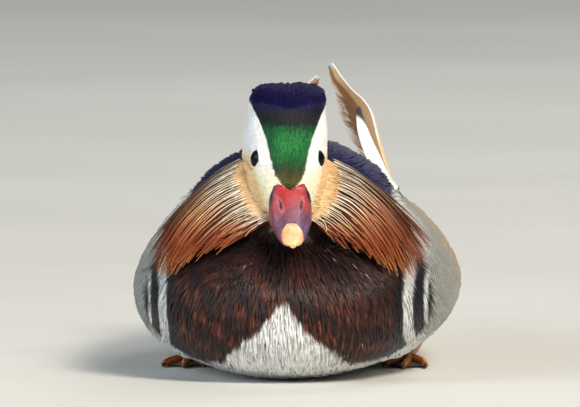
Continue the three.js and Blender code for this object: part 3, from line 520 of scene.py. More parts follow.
# Meshes and materials
class Weave:
    """Gathers many sheets and tubes, in mm, and joins them into one mesh with colours and two UV maps."""

    def __init__(self) -> None:
        """Start with nothing gathered."""
        self.points: list[Array] = []
        self.faces: dict[int, list[Array]] = {3: [], 4: []}
        self.tints: list[Array] = []
        self.vane: list[Array] = []
        self.bake: list[Array] = []
        self.count = 0

    def keep(self, points: Array, tints: Array, vane: Array, bake: Array, faces: Sequence[Array]) -> None:
        """Add points with their colours and UVs, and the faces between them.

        Args:
            points: Points in mm.
            tints: Colour and gloss of each point.
            vane: UV of each point across and along its own feather.
            bake: UV of each point for a baked picture.
            faces: Arrays of faces with 3 or 4 corners, counted from the first of these points.
        """
        self.points.append(points.reshape(-1, 3))
        self.tints.append(np.broadcast_to(tints, points.shape[:-1] + (4,)).reshape(-1, 4))
        self.vane.append(vane.reshape(-1, 2))
        self.bake.append(bake.reshape(-1, 2))
        for block in faces:
            self.faces[block.shape[-1]].append(block.reshape(-1, block.shape[-1]) + self.count)
        self.count += points.size // 3

    def sheets(self, grids: Array, tints: Array, bake: Array) -> None:
        """Add many open sheets of the same grid, face outwards to the right hand of their length.

        Args:
            grids: Points with axes sheet, row along, column across, coordinate.
            tints: Colours with the same axes.
            bake: Place of each sheet on the unwrap of the skin.
        """
        number, rows, columns = grids.shape[:3]
        vane = np.broadcast_to(evenly(rows, columns), (number, rows, columns, 2))
        spot = bake[:, None, None, :] + (vane - 0.5) * 0.003
        index = np.arange(number * rows * columns).reshape(number, rows, columns)
        self.keep(grids, tints, vane, spot, [squares(index)])

    def slabs(self, grids: Array, normals: Array, thick: Array, tints: Array, bake: Array) -> None:
        """Add many closed slabs, each a sheet with a back and a rim.

        Args:
            grids: Middle points with axes slab, row, column, coordinate.
            normals: Directions of the front at each point.
            thick: Thickness at each point, in mm.
            tints: Colours at each point.
            bake: Place of each slab on the unwrap, with one more axis for u and v.
        """
        number, rows, columns = grids.shape[:3]
        normals = np.broadcast_to(normals, grids.shape)
        half = normals * (np.asarray(thick) * 0.5)[..., None]
        across = grids[:, :-1, 1:] - grids[:, :-1, :-1]
        along = grids[:, 1:, :-1] - grids[:, :-1, :-1]
        facing = np.sum(np.cross(across, along) * normals[:, :-1, :-1], axis=(1, 2, 3))
        half = half * np.where(facing < 0, -1, 1)[:, None, None, None]
        both = np.stack([grids + half, grids - half], 1)
        vane = np.broadcast_to(evenly(rows, columns), (number, 2, rows, columns, 2))
        side = np.array([0.0, 0.5])[None, :, None, None]
        wide = vane * np.array([0.48, 0.96])
        spot = np.stack([wide[..., 0] + side, wide[..., 1] + 0 * side], -1) * 0.04 + bake[:, None, None,
            None, :]
        spot = np.broadcast_to(spot, both.shape[:-1] + (2,))
        index = np.arange(number * 2 * rows * columns).reshape(number, 2, rows, columns)
        front = index[:, 0]
        back = index[:, 1]
        faces = [squares(front), squares(back)[..., [0, 3, 2, 1]]]
        rims = ((front[:, 0, :], back[:, 0, :]), (front[:, -1, ::-1], back[:, -1, ::-1]),
            (front[:, ::-1, 0], back[:, ::-1, 0]), (front[:, :, -1], back[:, :, -1]))
        for near, far in rims:
            faces.append(np.stack([near[:, 1:], near[:, :-1], far[:, :-1], far[:, 1:]], -1))
        colours = np.broadcast_to(np.asarray(tints)[:, None], both.shape[:-1] + (4,))
        self.keep(both, colours, vane, spot, faces)

    def tubes(self, paths: Array, radii: Array, tints: Array, bake: Array, sides: int = 5) -> None:
        """Add many closed tubes that narrow as their radii do.

        Args:
            paths: Points with axes tube, row, coordinate.
            radii: Radius at each point, in mm.
            tints: Colour at each point.
            bake: Place of each tube on the unwrap.
            sides: Corners of the section.
        """
        number, rows = paths.shape[:2]
        way = unit(np.gradient(paths, axis=1))
        other = np.where(np.abs(way[..., 2:]) < 0.9, np.array([0, 0, 1.0]), np.array([1.0, 0, 0]))
        right = unit(np.cross(way, other))
        upper = np.cross(way, right)
        turn = np.arange(sides) * 2 * math.pi / sides
        spoke = right[:, :, None, :] * np.cos(turn)[None, None, :, None]
        spoke = spoke + upper[:, :, None, :] * np.sin(turn)[None, None, :, None]
        skin = paths[:, :, None, :] + spoke * np.asarray(radii)[:, :, None, None]
        ends = np.stack([paths[:, 0], paths[:, -1]], 1)
        points = np.concatenate([skin.reshape(number, rows * sides, 3), ends], 1)
        u, v = np.meshgrid(np.arange(sides) / sides, np.linspace(0, 1, rows))
        flat = np.stack([u, v], -1).reshape(-1, 2)
        vane = np.concatenate([flat, np.array([[0.5, 0.0], [0.5, 1.0]])])
        vane = np.broadcast_to(vane, (number, rows * sides + 2, 2))
        spot = bake[:, None, :] + (vane - 0.5) * 0.004
        colours = np.repeat(tints, sides, axis=1).reshape(number, rows * sides, 4)
        colours = np.concatenate([colours, tints[:, :1], tints[:, -1:]], 1)
        start = np.arange(number)[:, None, None] * (rows * sides + 2)
        index = start + np.arange(rows * sides).reshape(1, rows, sides)
        after = np.roll(index, -1, axis=2)
        quads = np.stack([index[:, :-1], after[:, :-1], after[:, 1:], index[:, 1:]], -1)
        base = np.broadcast_to(start + rows * sides, (number, 1, sides))[:, 0]
        caps = [np.stack([after[:, 0], index[:, 0], base], -1),
            np.stack([index[:, -1], after[:, -1], base + 1], -1)]
        self.keep(points, colours, vane, spot, [quads, *caps])

    def build(self, name: str, finish: Material) -> Piece:
        """Join all that was gathered into one object, with nothing below the floor.

        Args:
            name: Name of the piece.
            finish: Its material.

        Returns:
            The object, linked to the scene.
        """
        points = np.concatenate(self.points)
        points[:, 2] = np.maximum(points[:, 2], 0.02)
        corners = [np.concatenate(self.faces[size]) for size in (3, 4) if self.faces[size]]
        totals = np.concatenate([np.full(len(block), block.shape[1]) for block in corners])
        loops = np.concatenate([block.ravel() for block in corners]).astype(np.int32)
        mesh = bpy.data.meshes.new(name)
        mesh.vertices.add(len(points))
        mesh.vertices.foreach_set("co", (points * MM).astype(np.float32).ravel())
        mesh.loops.add(len(loops))
        mesh.loops.foreach_set("vertex_index", loops)
        mesh.polygons.add(len(totals))
        starts = np.concatenate([[0], np.cumsum(totals)[:-1]]).astype(np.int32)
        mesh.polygons.foreach_set("loop_start", starts)
        mesh.polygons.foreach_set("use_smooth", np.ones(len(totals), bool))
        tint = mesh.attributes.new("Tint", "FLOAT_COLOR", "POINT")
        tint.data.foreach_set("color", np.concatenate(self.tints).astype(np.float32).ravel())
        for title, parts in (("Vane", self.vane), ("OFBake", self.bake)):
            chart = mesh.uv_layers.new(name=title)
            spots = np.concatenate(parts)[loops]
            chart.data.foreach_set("uv", spots.astype(np.float32).ravel())
        mesh.update(calc_edges=True)
        mesh.validate()
        mesh.materials.append(finish)
        return linked(name, mesh)


def settle(piece: Piece, slot: str, *nodes: str) -> None:
    """Tie a finished piece to the body, hide the CAD nodes that it stands for and log its triangles.

    Args:
        piece: The finished object.
        slot: Not used.
        nodes: CAD nodes that it replaces.
    """
    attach(piece, "root")
    if nodes:
        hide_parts(*nodes)
    count = sum(len(face.vertices) - 2 for face in piece.data.polygons)
    LOG.info("%s: %d triangles", piece.name, count)


class Graph:
    """A material's node tree around one main shader."""

    def __init__(self, name: str, **values: float | Numbers) -> None:
        """Start a material and set the shader's own sockets.

        Args:
            name: Name of the material.
            values: Socket values, with underscores for the blanks in a socket's name.
        """
        self.material = bpy.data.materials.new(name)
        self.material.use_nodes = True
        self.tree = self.material.node_tree
        self.shader = self.tree.nodes["Principled BSDF"]
        for title, value in values.items():
            self.shader.inputs[title.replace("_", " ")].default_value = value

    def node(self, kind: str, **settings: object) -> bpy.types.Node:
        """Add a node and set its own properties.

        Args:
            kind: Blender's name for the kind of node.
            settings: Its properties by name.

        Returns:
            The new node.
        """
        made = self.tree.nodes.new(kind)
        for title, value in settings.items():
            setattr(made, title, value)
        return made

    def feed(self, socket: Socket, value: Socket | float | Sequence[float]) -> None:
        """Link a socket, or set it where the value is a plain one.

        Args:
            socket: The input to fill.
            value: A socket or a plain value.
        """
        if isinstance(value, Socket):
            self.tree.links.new(value, socket)
        else:
            socket.default_value = value

    def main(self, title: str, value: Socket) -> None:
        """Feed one of the main shader's sockets."""
        self.feed(self.shader.inputs[title], value)

    def sum(self, kind: str, *values: Socket | float) -> Socket:
        """Work out one step of arithmetic, named as Blender's Math node names it.

        Args:
            kind: Name of the operation.
            values: Its one, two or three values.

        Returns:
            The result.
        """
        made = self.node("ShaderNodeMath", operation=kind)
        for socket, value in zip(made.inputs, values):
            self.feed(socket, value)
        return made.outputs[0]

    def rise(self, value: Socket, low: float, high: float, start: float = 0.0, end: float = 1.0) -> Socket:
        """Map a value smoothly from one range to another.

        Args:
            value: The value to map.
            low: Value that gives start.
            high: Value that gives end.
            start: Result at low.
            end: Result at high.

        Returns:
            The mapped value.
        """
        made = self.node("ShaderNodeMapRange", interpolation_type="SMOOTHSTEP")
        for title, given in zip(("Value", "From Min", "From Max", "To Min", "To Max"),
                (value, low, high, start, end)):
            self.feed(made.inputs[title], given)
        return made.outputs[0]

    def mix(self, share: Socket | float, first: object, second: object, kind: str = "MIX") -> Socket:
        """Mix two colours by a share.

        Args:
            share: Share of the second colour.
            first: First colour.
            second: Second colour.
            kind: Name of the way to mix.

        Returns:
            The mixed colour.
        """
        made = self.node("ShaderNodeMix", data_type="RGBA", blend_type=kind)
        plain = [tuple(one) + (1.0,) if isinstance(one, tuple) and len(one) == 3 else one
            for one in (first, second)]
        self.feed(made.inputs[0], share)
        self.feed(made.inputs[6], plain[0])
        self.feed(made.inputs[7], plain[1])
        return made.outputs[2]

    def shaded(self, colour: Socket, shade: Socket) -> Socket:
        """Darken or lighten a colour evenly.

        Args:
            colour: The colour.
            shade: Factor for all three channels.

        Returns:
            The shaded colour.
        """
        grey = self.node("ShaderNodeCombineColor")
        for socket in grey.inputs:
            self.feed(socket, shade)
        return self.mix(1.0, colour, grey.outputs[0], "MULTIPLY")

    def tint(self) -> tuple[Socket, Socket]:
        """Read the colour and the gloss that the mesh carries."""
        made = self.node("ShaderNodeAttribute", attribute_name="Tint")
        return made.outputs["Color"], made.outputs["Alpha"]

    def vane(self) -> tuple[Socket, Socket, Socket]:
        """Read how far across the feather, off its middle, and along it a point lies.

        Returns:
            Place across, distance off the middle and place along.
        """
        chart = self.node("ShaderNodeUVMap", uv_map="Vane")
        parts = self.node("ShaderNodeSeparateXYZ")
        self.feed(parts.inputs[0], chart.outputs[0])
        off = self.sum("ABSOLUTE", self.sum("SUBTRACT", parts.outputs[0], 0.5))
        return parts.outputs[0], off, parts.outputs[1]

    def noise(self, scale: float, detail: float = 3.0) -> Socket:
        """Read an uneven value, 0 to 1, at a number of patches to the metre of the object.

        Args:
            scale: Patches to the metre.
            detail: Number of finer layers.

        Returns:
            The value.
        """
        made = self.node("ShaderNodeTexNoise")
        self.feed(made.inputs["Vector"], self.node("ShaderNodeTexCoord").outputs["Object"])
        made.inputs["Scale"].default_value = scale
        made.inputs["Detail"].default_value = detail
        return made.outputs[0]

    def bump(self, height: Socket, deep: float) -> None:
        """Raise the surface by a height, deep in metres where the height is 1.

        Args:
            height: The height, 0 to 1.
            deep: Depth in metres.
        """
        made = self.node("ShaderNodeBump")
        made.inputs["Distance"].default_value = deep
        self.feed(made.inputs["Height"], height)
        self.main("Normal", made.outputs[0])


class Barbs(Enum):
    """How a feather's barbs lie."""

    HAIR = "along the feather, as in loose hair-like down"
    VANE = "slanting out from the shaft in a closed vane"
    BARRED = "a closed vane crossed by fine wavy bars"


@dataclass(frozen=True)
class Plumage:
    """The finish of feathers: colour from the mesh, barbs from the feather's own map."""

    name: str
    barbs: Barbs = Barbs.HAIR
    roughness: float = 0.62
    sheen: float = 0.15
    depth: float = 0.28
    lines: float = 5.0
    shaft: float = 0.0
    shaft_tint: Triple = COLOUR.straw
    bars: float = 0.0
    relief: float = 0.00003
    metal: float = 0.45
    specular: float = 0.4
    glow: float = 0.0

    def make(self) -> Material:
        """Build the material.

        Returns:
            The material.
        """
        graph = Graph(self.name, Roughness=self.roughness, Sheen_Weight=self.sheen, Sheen_Roughness=0.4,
            Specular_IOR_Level=self.specular, Subsurface_Weight=self.glow,
            Subsurface_Radius=(1.0, 0.65, 0.45), Subsurface_Scale=0.005)
        colour, gloss = graph.tint()
        across, off, along = graph.vane()
        uneven = graph.noise(900.0, 2.0)
        if self.barbs is Barbs.HAIR:
            phase = graph.sum("MULTIPLY", across, self.lines)
            phase = graph.sum("ADD", phase, graph.sum("MULTIPLY", uneven, 1.4))
        else:
            phase = graph.sum("MULTIPLY", along, self.lines)
            phase = graph.sum("SUBTRACT", phase, graph.sum("MULTIPLY", off, self.lines * 0.55))
            phase = graph.sum("ADD", phase, graph.sum("MULTIPLY", uneven, 0.5))
        wave = graph.sum("SINE", graph.sum("MULTIPLY", phase, 2 * math.pi))
        shade = graph.sum("MULTIPLY_ADD", wave, self.depth * 0.5, 1 - self.depth * 0.25)
        patchy = graph.rise(graph.noise(260.0), 0.3, 0.7, 1 - self.depth * 0.5, 1 + self.depth * 0.35)
        shade = graph.sum("MULTIPLY", shade, patchy)
        painted = graph.shaded(colour, shade)
        if self.bars > 0:
            wobble = graph.sum("MULTIPLY", graph.noise(520.0, 2.0), 2.2)
            line = graph.sum("SINE", graph.sum("MULTIPLY_ADD", along, self.bars,
                graph.sum("MULTIPLY", wobble, 3.0)))
            dark = graph.rise(line, 0.05, 0.75, 0.0, 0.62)
            painted = graph.mix(dark, painted, srgb(58, 62, 68))
        height = graph.sum("MULTIPLY", wave, 0.5)
        if self.shaft > 0:
            ridge = graph.rise(off, self.shaft, self.shaft * 0.45)
            painted = graph.mix(ridge, painted, self.shaft_tint)
            height = graph.sum("ADD", height, graph.sum("MULTIPLY", ridge, 2.0))
        graph.main("Base Color", painted)
        graph.main("Roughness", graph.sum("MULTIPLY_ADD", gloss, -0.3, self.roughness))
        graph.main("Metallic", graph.sum("MULTIPLY", gloss, self.metal))
        graph.bump(height, self.relief)
        return graph.material


# Skin and coat
NECK_RINGS = (((-97, 58), (-34, 62), 30), ((-98.5, 68), (-33, 78), 28), ((-97, 76), (-36, 91), 24.5),
    ((-92, 84), (-42, 101), 19), ((-84, 92), (-50, 106), 13))
FLANK_EDGE = 44.0
FLANK_SWELL = 2.2
SHOULDER_SWELL = 4.0
BILL_ROOT = np.array([0.0, -107.0, 84.0])


class Markings:
    """Where each colour of the living bird lies, for skin and coat alike, with gloss as a fourth value."""

    crown_heights: Numbers = (84, 88, 92, 99.5, 107.4, 115, 121, 126, 131)
    crown_halves: Numbers = (0, 3.6, 6.4, 8.1, 10.1, 13.4, 16.4, 18.6, 20.5)

    def head(self, points: Array) -> Array:
        """Colour the head: dark crown with a green forehead, white brow, buff cheek.

        Args:
            points: Points in mm in the duck's axes.

        Returns:
            Colours with gloss.
        """
        own = HEAD.into(points)
        side = np.abs(own[..., 0])
        back = own[..., 1]
        up = own[..., 2]
        rough = mottle(points, 1.1, 21)
        fleck = mottle(points, 0.6, 22)
        half = np.interp(up, self.crown_heights, self.crown_halves)
        dark = step(half + 0.3, half - 0.3, side + rough * 0.15)
        crown = layered(COLOUR.olive,
            (COLOUR.green_deep, step(88, 98, up + rough + 3.0 * fleck)),
            (COLOUR.green, step(92, 102, up + rough * 1.5)
                * step(-1.1, 0.7, fleck + 0.8 * step(9, 2, side))),
            (COLOUR.green_deep, step(108, 114, up + rough * 1.5)),
            (COLOUR.black, step(111, 115, up + rough) * 0.9),
            (COLOUR.navy, step(116, 121, up + rough)),
            (COLOUR.violet, step(124, 130, up + rough * 2) * 0.6),
            (COLOUR.black, step(89, 86, up) * 0.6),
            (COLOUR.copper, step(-54, -44, back) * step(6.5, 4.5, side) * 0.7))
        edge = np.minimum(81 + 3.1 * (side - 10.5), 100.5)
        cheek = layered(COLOUR.buff,
            (COLOUR.buff_deep, step(-86, -74, back + rough) * 0.8),
            (COLOUR.cream, step(5, 1, edge - up + rough) * 0.55),
            (COLOUR.chestnut, step(78, 73, up + rough)),
            (COLOUR.maroon_black, step(74, 71, up + rough) * step(11, 6, side)))
        pale = blend(COLOUR.cream, COLOUR.white, step(88, 99, up + rough))
        face = blend(cheek, pale, step(-2.4, 3.4, up - edge + rough * 0.8))
        lore = step(-100.5, -103, back + 0.12 * (side - 8)) * step(96, 90, up)
        face = blend(face, COLOUR.white, lore * 0.8)
        colour = blend(face, crown, dark)
        gloss = dark * (0.1 + 0.5 * step(93, 103, up) * step(116, 108, up))
        return glossed(colour, gloss)

    def body(self, points: Array) -> Array:
        """Colour the body: maroon breast with two white bars, grey flanks, dark back, white belly.

        Args:
            points: Points in mm in the duck's axes.

        Returns:
            Colours with gloss.
        """
        side = np.abs(points[..., 0])
        back = points[..., 1]
        up = points[..., 2]
        patch = np.abs(points[..., 0] - 0.4)
        rough = mottle(points, 4.0, 31)
        fine = mottle(points * np.array([1, 1, 0.4]), 1.3, 32)
        # The maroon mottle is the breast's own colour; the bronze flecks low on the breast are painted
        # glints of light.
        breast = layered(COLOUR.maroon_black,
            (COLOUR.maroon, step(-0.6, 1.2, 0.35 * rough + fine) * step(66, 40, up)),
            (COLOUR.bronze_glint, step(48, 24, up) * step(0.2, 1.4, fine + 0.25 * rough) * 0.5))
        mantle = layered(COLOUR.mantle,
            (COLOUR.brown_green, step(-14, 12, back + 8 * rough)),
            (COLOUR.maroon_black, step(-0.1, 1.0, fine + 0.5 * rough) * 0.6))
        ridge = blend(COLOUR.brown_green, COLOUR.brown, step(-0.7, 0.9, rough + fine * 0.5))
        mantle = blend(mantle, ridge, step(0, 40, back + 8 * rough))
        flank = layered(COLOUR.flank,
            (COLOUR.flank_buff, step(-20, 60, back + 10 * rough) * step(86, 60, up) * 0.75),
            (COLOUR.white, step(54, 66, up + 2 * rough) * step(-8, -42, back) * 0.45),
            (COLOUR.white, step(24, 13, up + 2 * rough) * 0.8))
        rail = side - FLANK_EDGE + 0.5 * rough
        rear = step(52, 66, back) * step(56, 66, up)
        flank = layered(flank,
            (COLOUR.white, step(5.2, 4.6, rail) * rear),
            (COLOUR.black, step(2.6, 2.1, rail) * rear))
        upper = blend(breast, mantle, step(-70, -56, back + 3 * rough + 0.3 * (70 - up)))
        on_flank = step(-0.6, 0.6, rail) * step(-60.5, -57, back + 0.6 * rough)
        colour = blend(upper, flank, on_flank)
        bars = side + 0.0016 * (up - 42) ** 2 * np.sign(up - 42) + 0.25 * rough
        front = step(-56, -60, back) * step(8, 12, up)
        ink = step(46.5, 49.5, bars) * front
        colour = blend(colour, COLOUR.black, ink)
        wide_bar = step(51.2, 51.7, bars) * step(55.7, 55.2, bars)
        thin_bar = step(59.6, 60.0, bars) * step(61.5, 61.1, bars) * (0.5 + 0.5 * step(-0.6, 0.1, fine))
        colour = blend(colour, COLOUR.white, np.maximum(wide_bar, thin_bar) * front)
        rump = blend(ridge, COLOUR.brown_green, step(-0.4, 0.8, rough))
        colour = layered(colour,
            (rump, step(118, 134, back + 3 * rough) * (1 - on_flank)),
            (rump, step(132, 146, back + 3 * rough)))
        line = np.where(patch < 9.4, 38.5 - patch * 1.3, np.maximum(26.3 - (patch - 9.4) * 0.9, 9))
        line = np.where(back > -60, 15 + 4 * step(-20, 60, back), line)
        line = line + step(100, 165, back) * 34
        belly = step(1.3, -1.3, up - line + 1.2 * fine + 0.6 * rough)
        colour = blend(colour, COLOUR.white, belly)
        ink_share = np.clip(1 - belly - on_flank, 0, 1)
        gloss = ink_share * (0.3 + 0.25 * step(-60, -20, back)) * step(62, 58, bars * front)
        return glossed(colour, gloss)

    def neck(self, points: Array) -> Array:
        """Colour the neck between head and body.

        Args:
            points: Points in mm in the duck's axes.

        Returns:
            Colours with gloss.
        """
        back = points[..., 1]
        rough = mottle(points, 3.0, 41)
        colour = layered(COLOUR.maroon_black,
            (COLOUR.chestnut, step(-96, -84, back + 3 * rough)),
            (COLOUR.violet, step(-60, -44, back + 3 * rough) * 0.8))
        gloss = 0.15 + 0.2 * step(-60, -44, back)
        return glossed(colour, gloss)

    def all(self, points: Array) -> Array:
        """Colour any point of the skin by the part that it lies on.

        Args:
            points: Points of the skin, in mm.

        Returns:
            Their colours.
        """
        on_head = step(3.6, 2.2, np.minimum(HEAD.height(points), CREST.height(points)))
        on_body = step(4.8, 3.4, BODY.height(points) - swell(points))
        colour = blend(self.neck(points), self.body(points), on_body)
        return blend(colour, self.head(points), on_head)


def flank_share(points: Array) -> Array:
    """Tell how fully a point of the body lies on the swollen flank.

    Args:
        points: Any number of points, in mm.

    Returns:
        The share, 0 to 1.
    """
    side = np.abs(points[..., 0])
    back = points[..., 1]
    return step(FLANK_EDGE - 3, FLANK_EDGE + 2, side) * step(-60, -48, back) * step(150, 128, back)


def swell(points: Array) -> Array:
    """Tell how far flanks and fluffed shoulders stand over the plain body, more on the left shoulder.

    Args:
        points: Any number of points, in mm.

    Returns:
        The height in mm.
    """
    side = np.abs(points[..., 0])
    back = points[..., 1]
    share = step(4, 14, side) * step(47, 33, side) * step(-56, -40, back) * step(14, -10, back)
    share = share * step(58, 74, points[..., 2]) * (1 + 0.35 * step(0, 10, points[..., 0]))
    return FLANK_SWELL * flank_share(points) + SHOULDER_SWELL * share


MARKINGS = Markings()


def lie(points: Array, normals: Array) -> Array:
    """Find the way that feathers lie: away from the bill on the head, away from the neck on the body.

    Args:
        points: Points in mm in the duck's axes.
        normals: Outward directions of the skin there.

    Returns:
        Directions along the skin.
    """
    own = HEAD.into(points)
    from_bill = own - BILL_ROOT
    from_bill[..., 2] = from_bill[..., 2] * np.where(from_bill[..., 2] > 0, 1, 0.55)
    head = unit(HEAD.out(own + from_bill) - points)
    from_neck = unit(points - np.array([0.0, -88.0, 100.0]))
    body = unit(from_neck + np.array([0, 1.0, 0]) * (2.6 * step(-78, 30, points[..., 1]))[..., None])
    near_head = step(7, 1.5, np.minimum(HEAD.height(points), CREST.height(points)))
    way = blend(body, head, near_head)
    way = way - normals * np.sum(way * normals, -1, keepdims=True)
    return unit(way)


@dataclass
class Skin:
    """One closed skin under all the plumage, which takes the place of the nodes of flesh."""

    depth: float = 1.6
    head_depth: float = 1.0
    crest_depth: float = 1.4
    voxel: float = 1.35
    points: Array = field(default=None, repr=False)
    faces: Array = field(default=None, repr=False)
    tree: BVHTree = field(default=None, repr=False)

    def shell(self, form: Form, depth: float, rows: int, sides: int) -> Array:
        """Sample a form as rings of points, sunk by a depth.

        Args:
            form: The form.
            depth: How far inside the form, in mm.
            rows: Sections from end to end.
            sides: Points round each section.

        Returns:
            The rings.
        """
        first = form.rows[0][0]
        last = form.rows[-1][0]
        share = 0.5 - 0.5 * np.cos(np.linspace(0.02, math.pi - 0.02, rows))
        spot, turn = np.meshgrid(first + (last - first) * share, full_turn(sides), indexing="ij")
        lift = -depth + 0 * spot
        if form is BODY:
            lift = lift + swell(form.surface(spot, turn))
        points = form.surface(spot, turn, lift)
        if form is BODY:
            points[..., 2] = np.maximum(points[..., 2], 0.7)
        return points

    def neck(self) -> Array:
        """Sample the neck as a stack of leaning rings.

        Returns:
            The points, by ring and turn.
        """
        shares = np.linspace(0, 1, 12)
        front, rear = (smooth_path([one[end] for one in NECK_RINGS], shares) for end in (0, 1))
        wide = np.interp(shares * (len(NECK_RINGS) - 1), range(len(NECK_RINGS)),
            [one[2] for one in NECK_RINGS])
        turn = full_turn(40)
        cosine, sine = (np.sign(wave) * np.abs(wave) ** (2 / 2.2) for wave in (np.cos(turn), np.sin(turn)))
        x = (wide[:, None] - self.depth) * cosine - shares[:, None]
        reach = (rear - front)[:, None] / 2 * 0.97
        return np.concatenate([x[..., None], ((front + rear) / 2)[:, None] + reach * sine[:, None]], -1)

    def build(self) -> Piece:
        """Join body, neck, head and crown into one smooth mesh and paint it.

        Returns:
            The skin.
        """
        body = self.shell(BODY, self.depth, 150, 120)
        head = self.shell(HEAD, self.head_depth, 70, 80)
        parts = [body, self.neck(), head, self.shell(CREST, self.crest_depth, 70, 72)]
        faces: list[list[int]] = []
        start = 0
        for rings in parts:
            rows, sides = rings.shape[:2]
            end = start + rows * sides
            faces.extend((hoops(rows, sides).reshape(-1, 4) + start).tolist())
            faces.append([*range(start + sides - 1, start - 1, -1)])
            faces.append([*range(end - sides, end)])
            start = end
        mesh = bpy.data.meshes.new("skin")
        points = np.concatenate([rings.reshape(-1, 3) for rings in parts])
        mesh.from_pydata((points * MM).tolist(), [], faces)
        piece = linked("skin", mesh)
        remesh = piece.modifiers.new("one skin", "REMESH")
        remesh.mode = "VOXEL"
        remesh.voxel_size = self.voxel * MM
        soften = piece.modifiers.new("soften", "SMOOTH")
        soften.factor = 0.5
        soften.iterations = 10
        plain = finished(piece)
        spots = np.zeros(len(plain.vertices) * 3, np.float32)
        plain.vertices.foreach_get("co", spots)
        self.points = spots.reshape(-1, 3).astype(float) / MM
        plain.calc_loop_triangles()
        corners = np.zeros(len(plain.loop_triangles) * 3, np.int32)
        plain.loop_triangles.foreach_get("vertices", corners)
        self.faces = corners.reshape(-1, 3)
        self.tree = BVHTree.FromPolygons(self.points.tolist(), self.faces.tolist())
        weave = Weave()
        chart = self.unwrap(self.points)
        weave.keep(self.points, MARKINGS.all(self.points), chart, chart, [self.faces])
        bpy.data.meshes.remove(plain)
        return weave.build("skin", Plumage("down", relief=0.00008, lines=160.0).make())

    def unwrap(self, points: Array) -> Array:
        """Lay the skin out flat: head in the lowest part of the chart, body in the rest.

        Args:
            points: Points in mm in the duck's axes.

        Returns:
            UV of each point, round the form and along its side.
        """
        own = HEAD.into(points)
        on_head = np.minimum(HEAD.height(points), CREST.height(points)) < 2.0
        head_turn = np.arctan2(own[..., 0], own[..., 2] - 100) / (2 * math.pi) + 0.5
        body_turn = np.arctan2(points[..., 0], points[..., 2] - 38) / (2 * math.pi) + 0.5
        head_along = 0.02 + 0.3 * CREST.arc(np.clip(own[..., 1], -104, 2)) + 0.06 * HEAD.arc(own[..., 1])
        body_along = 0.42 + 0.56 * BODY.arc(points[..., 1])
        turn = np.where(on_head, head_turn, body_turn)
        along = np.where(on_head, head_along, body_along)
        return np.stack([0.01 + 0.98 * turn, along], -1)

    def nearest(self, points: Array) -> tuple[Array, Array]:
        """Find the nearest place of the skin for each point.

        Args:
            points: Points in mm, in any number of axes.

        Returns:
            The places and the outward directions there.
        """
        flat = points.reshape(-1, 3)
        spots = np.empty_like(flat)
        normals = np.empty_like(flat)
        find = self.tree.find_nearest
        for index, one in enumerate(flat.tolist()):
            spot, normal, _, _ = find(one)
            spots[index] = spot
            normals[index] = normal
        return spots.reshape(points.shape), normals.reshape(points.shape)

    def roots(self, spacing: float, keep: Callable[[Array, Array], Array], seed: int) -> tuple[Array,
            Array]:
        """Scatter roots evenly over part of the skin.

        Args:
            spacing: Distance between neighbours, in mm.
            keep: Share of the roots kept for points and normals, 0 to 1.
            seed: Seed of the scatter.

        Returns:
            Roots and the outward directions there.
        """
        dice = np.random.default_rng(seed)
        corners = self.points[self.faces]
        normal = np.cross(corners[:, 1] - corners[:, 0], corners[:, 2] - corners[:, 0])
        area = np.linalg.norm(normal, axis=-1) / 2
        middle = corners.mean(1)
        share = keep(middle, unit(normal)) > 0
        chance = np.where(share, area, 0)
        number = int(chance.sum() / spacing**2 * 3)
        pick = dice.choice(len(area), size=number, p=chance / chance.sum())
        first, second = dice.random((2, number, 1))
        flip = first + second > 1
        first = np.where(flip, 1 - first, first)
        second = np.where(flip, 1 - second, second)
        three = corners[pick]
        spots = three[:, 0] + first * (three[:, 1] - three[:, 0]) + second * (three[:, 2] - three[:, 0])
        cells = np.floor(spots / spacing).astype(np.int64)
        key = cells @ np.array([1, 4096, 4096 * 4096])
        _, index = np.unique(key, return_index=True)
        spots = spots[index]
        normals = unit(normal)[pick][index]
        kept = keep(spots, normals) > dice.random(len(spots))
        return spots[kept], normals[kept]


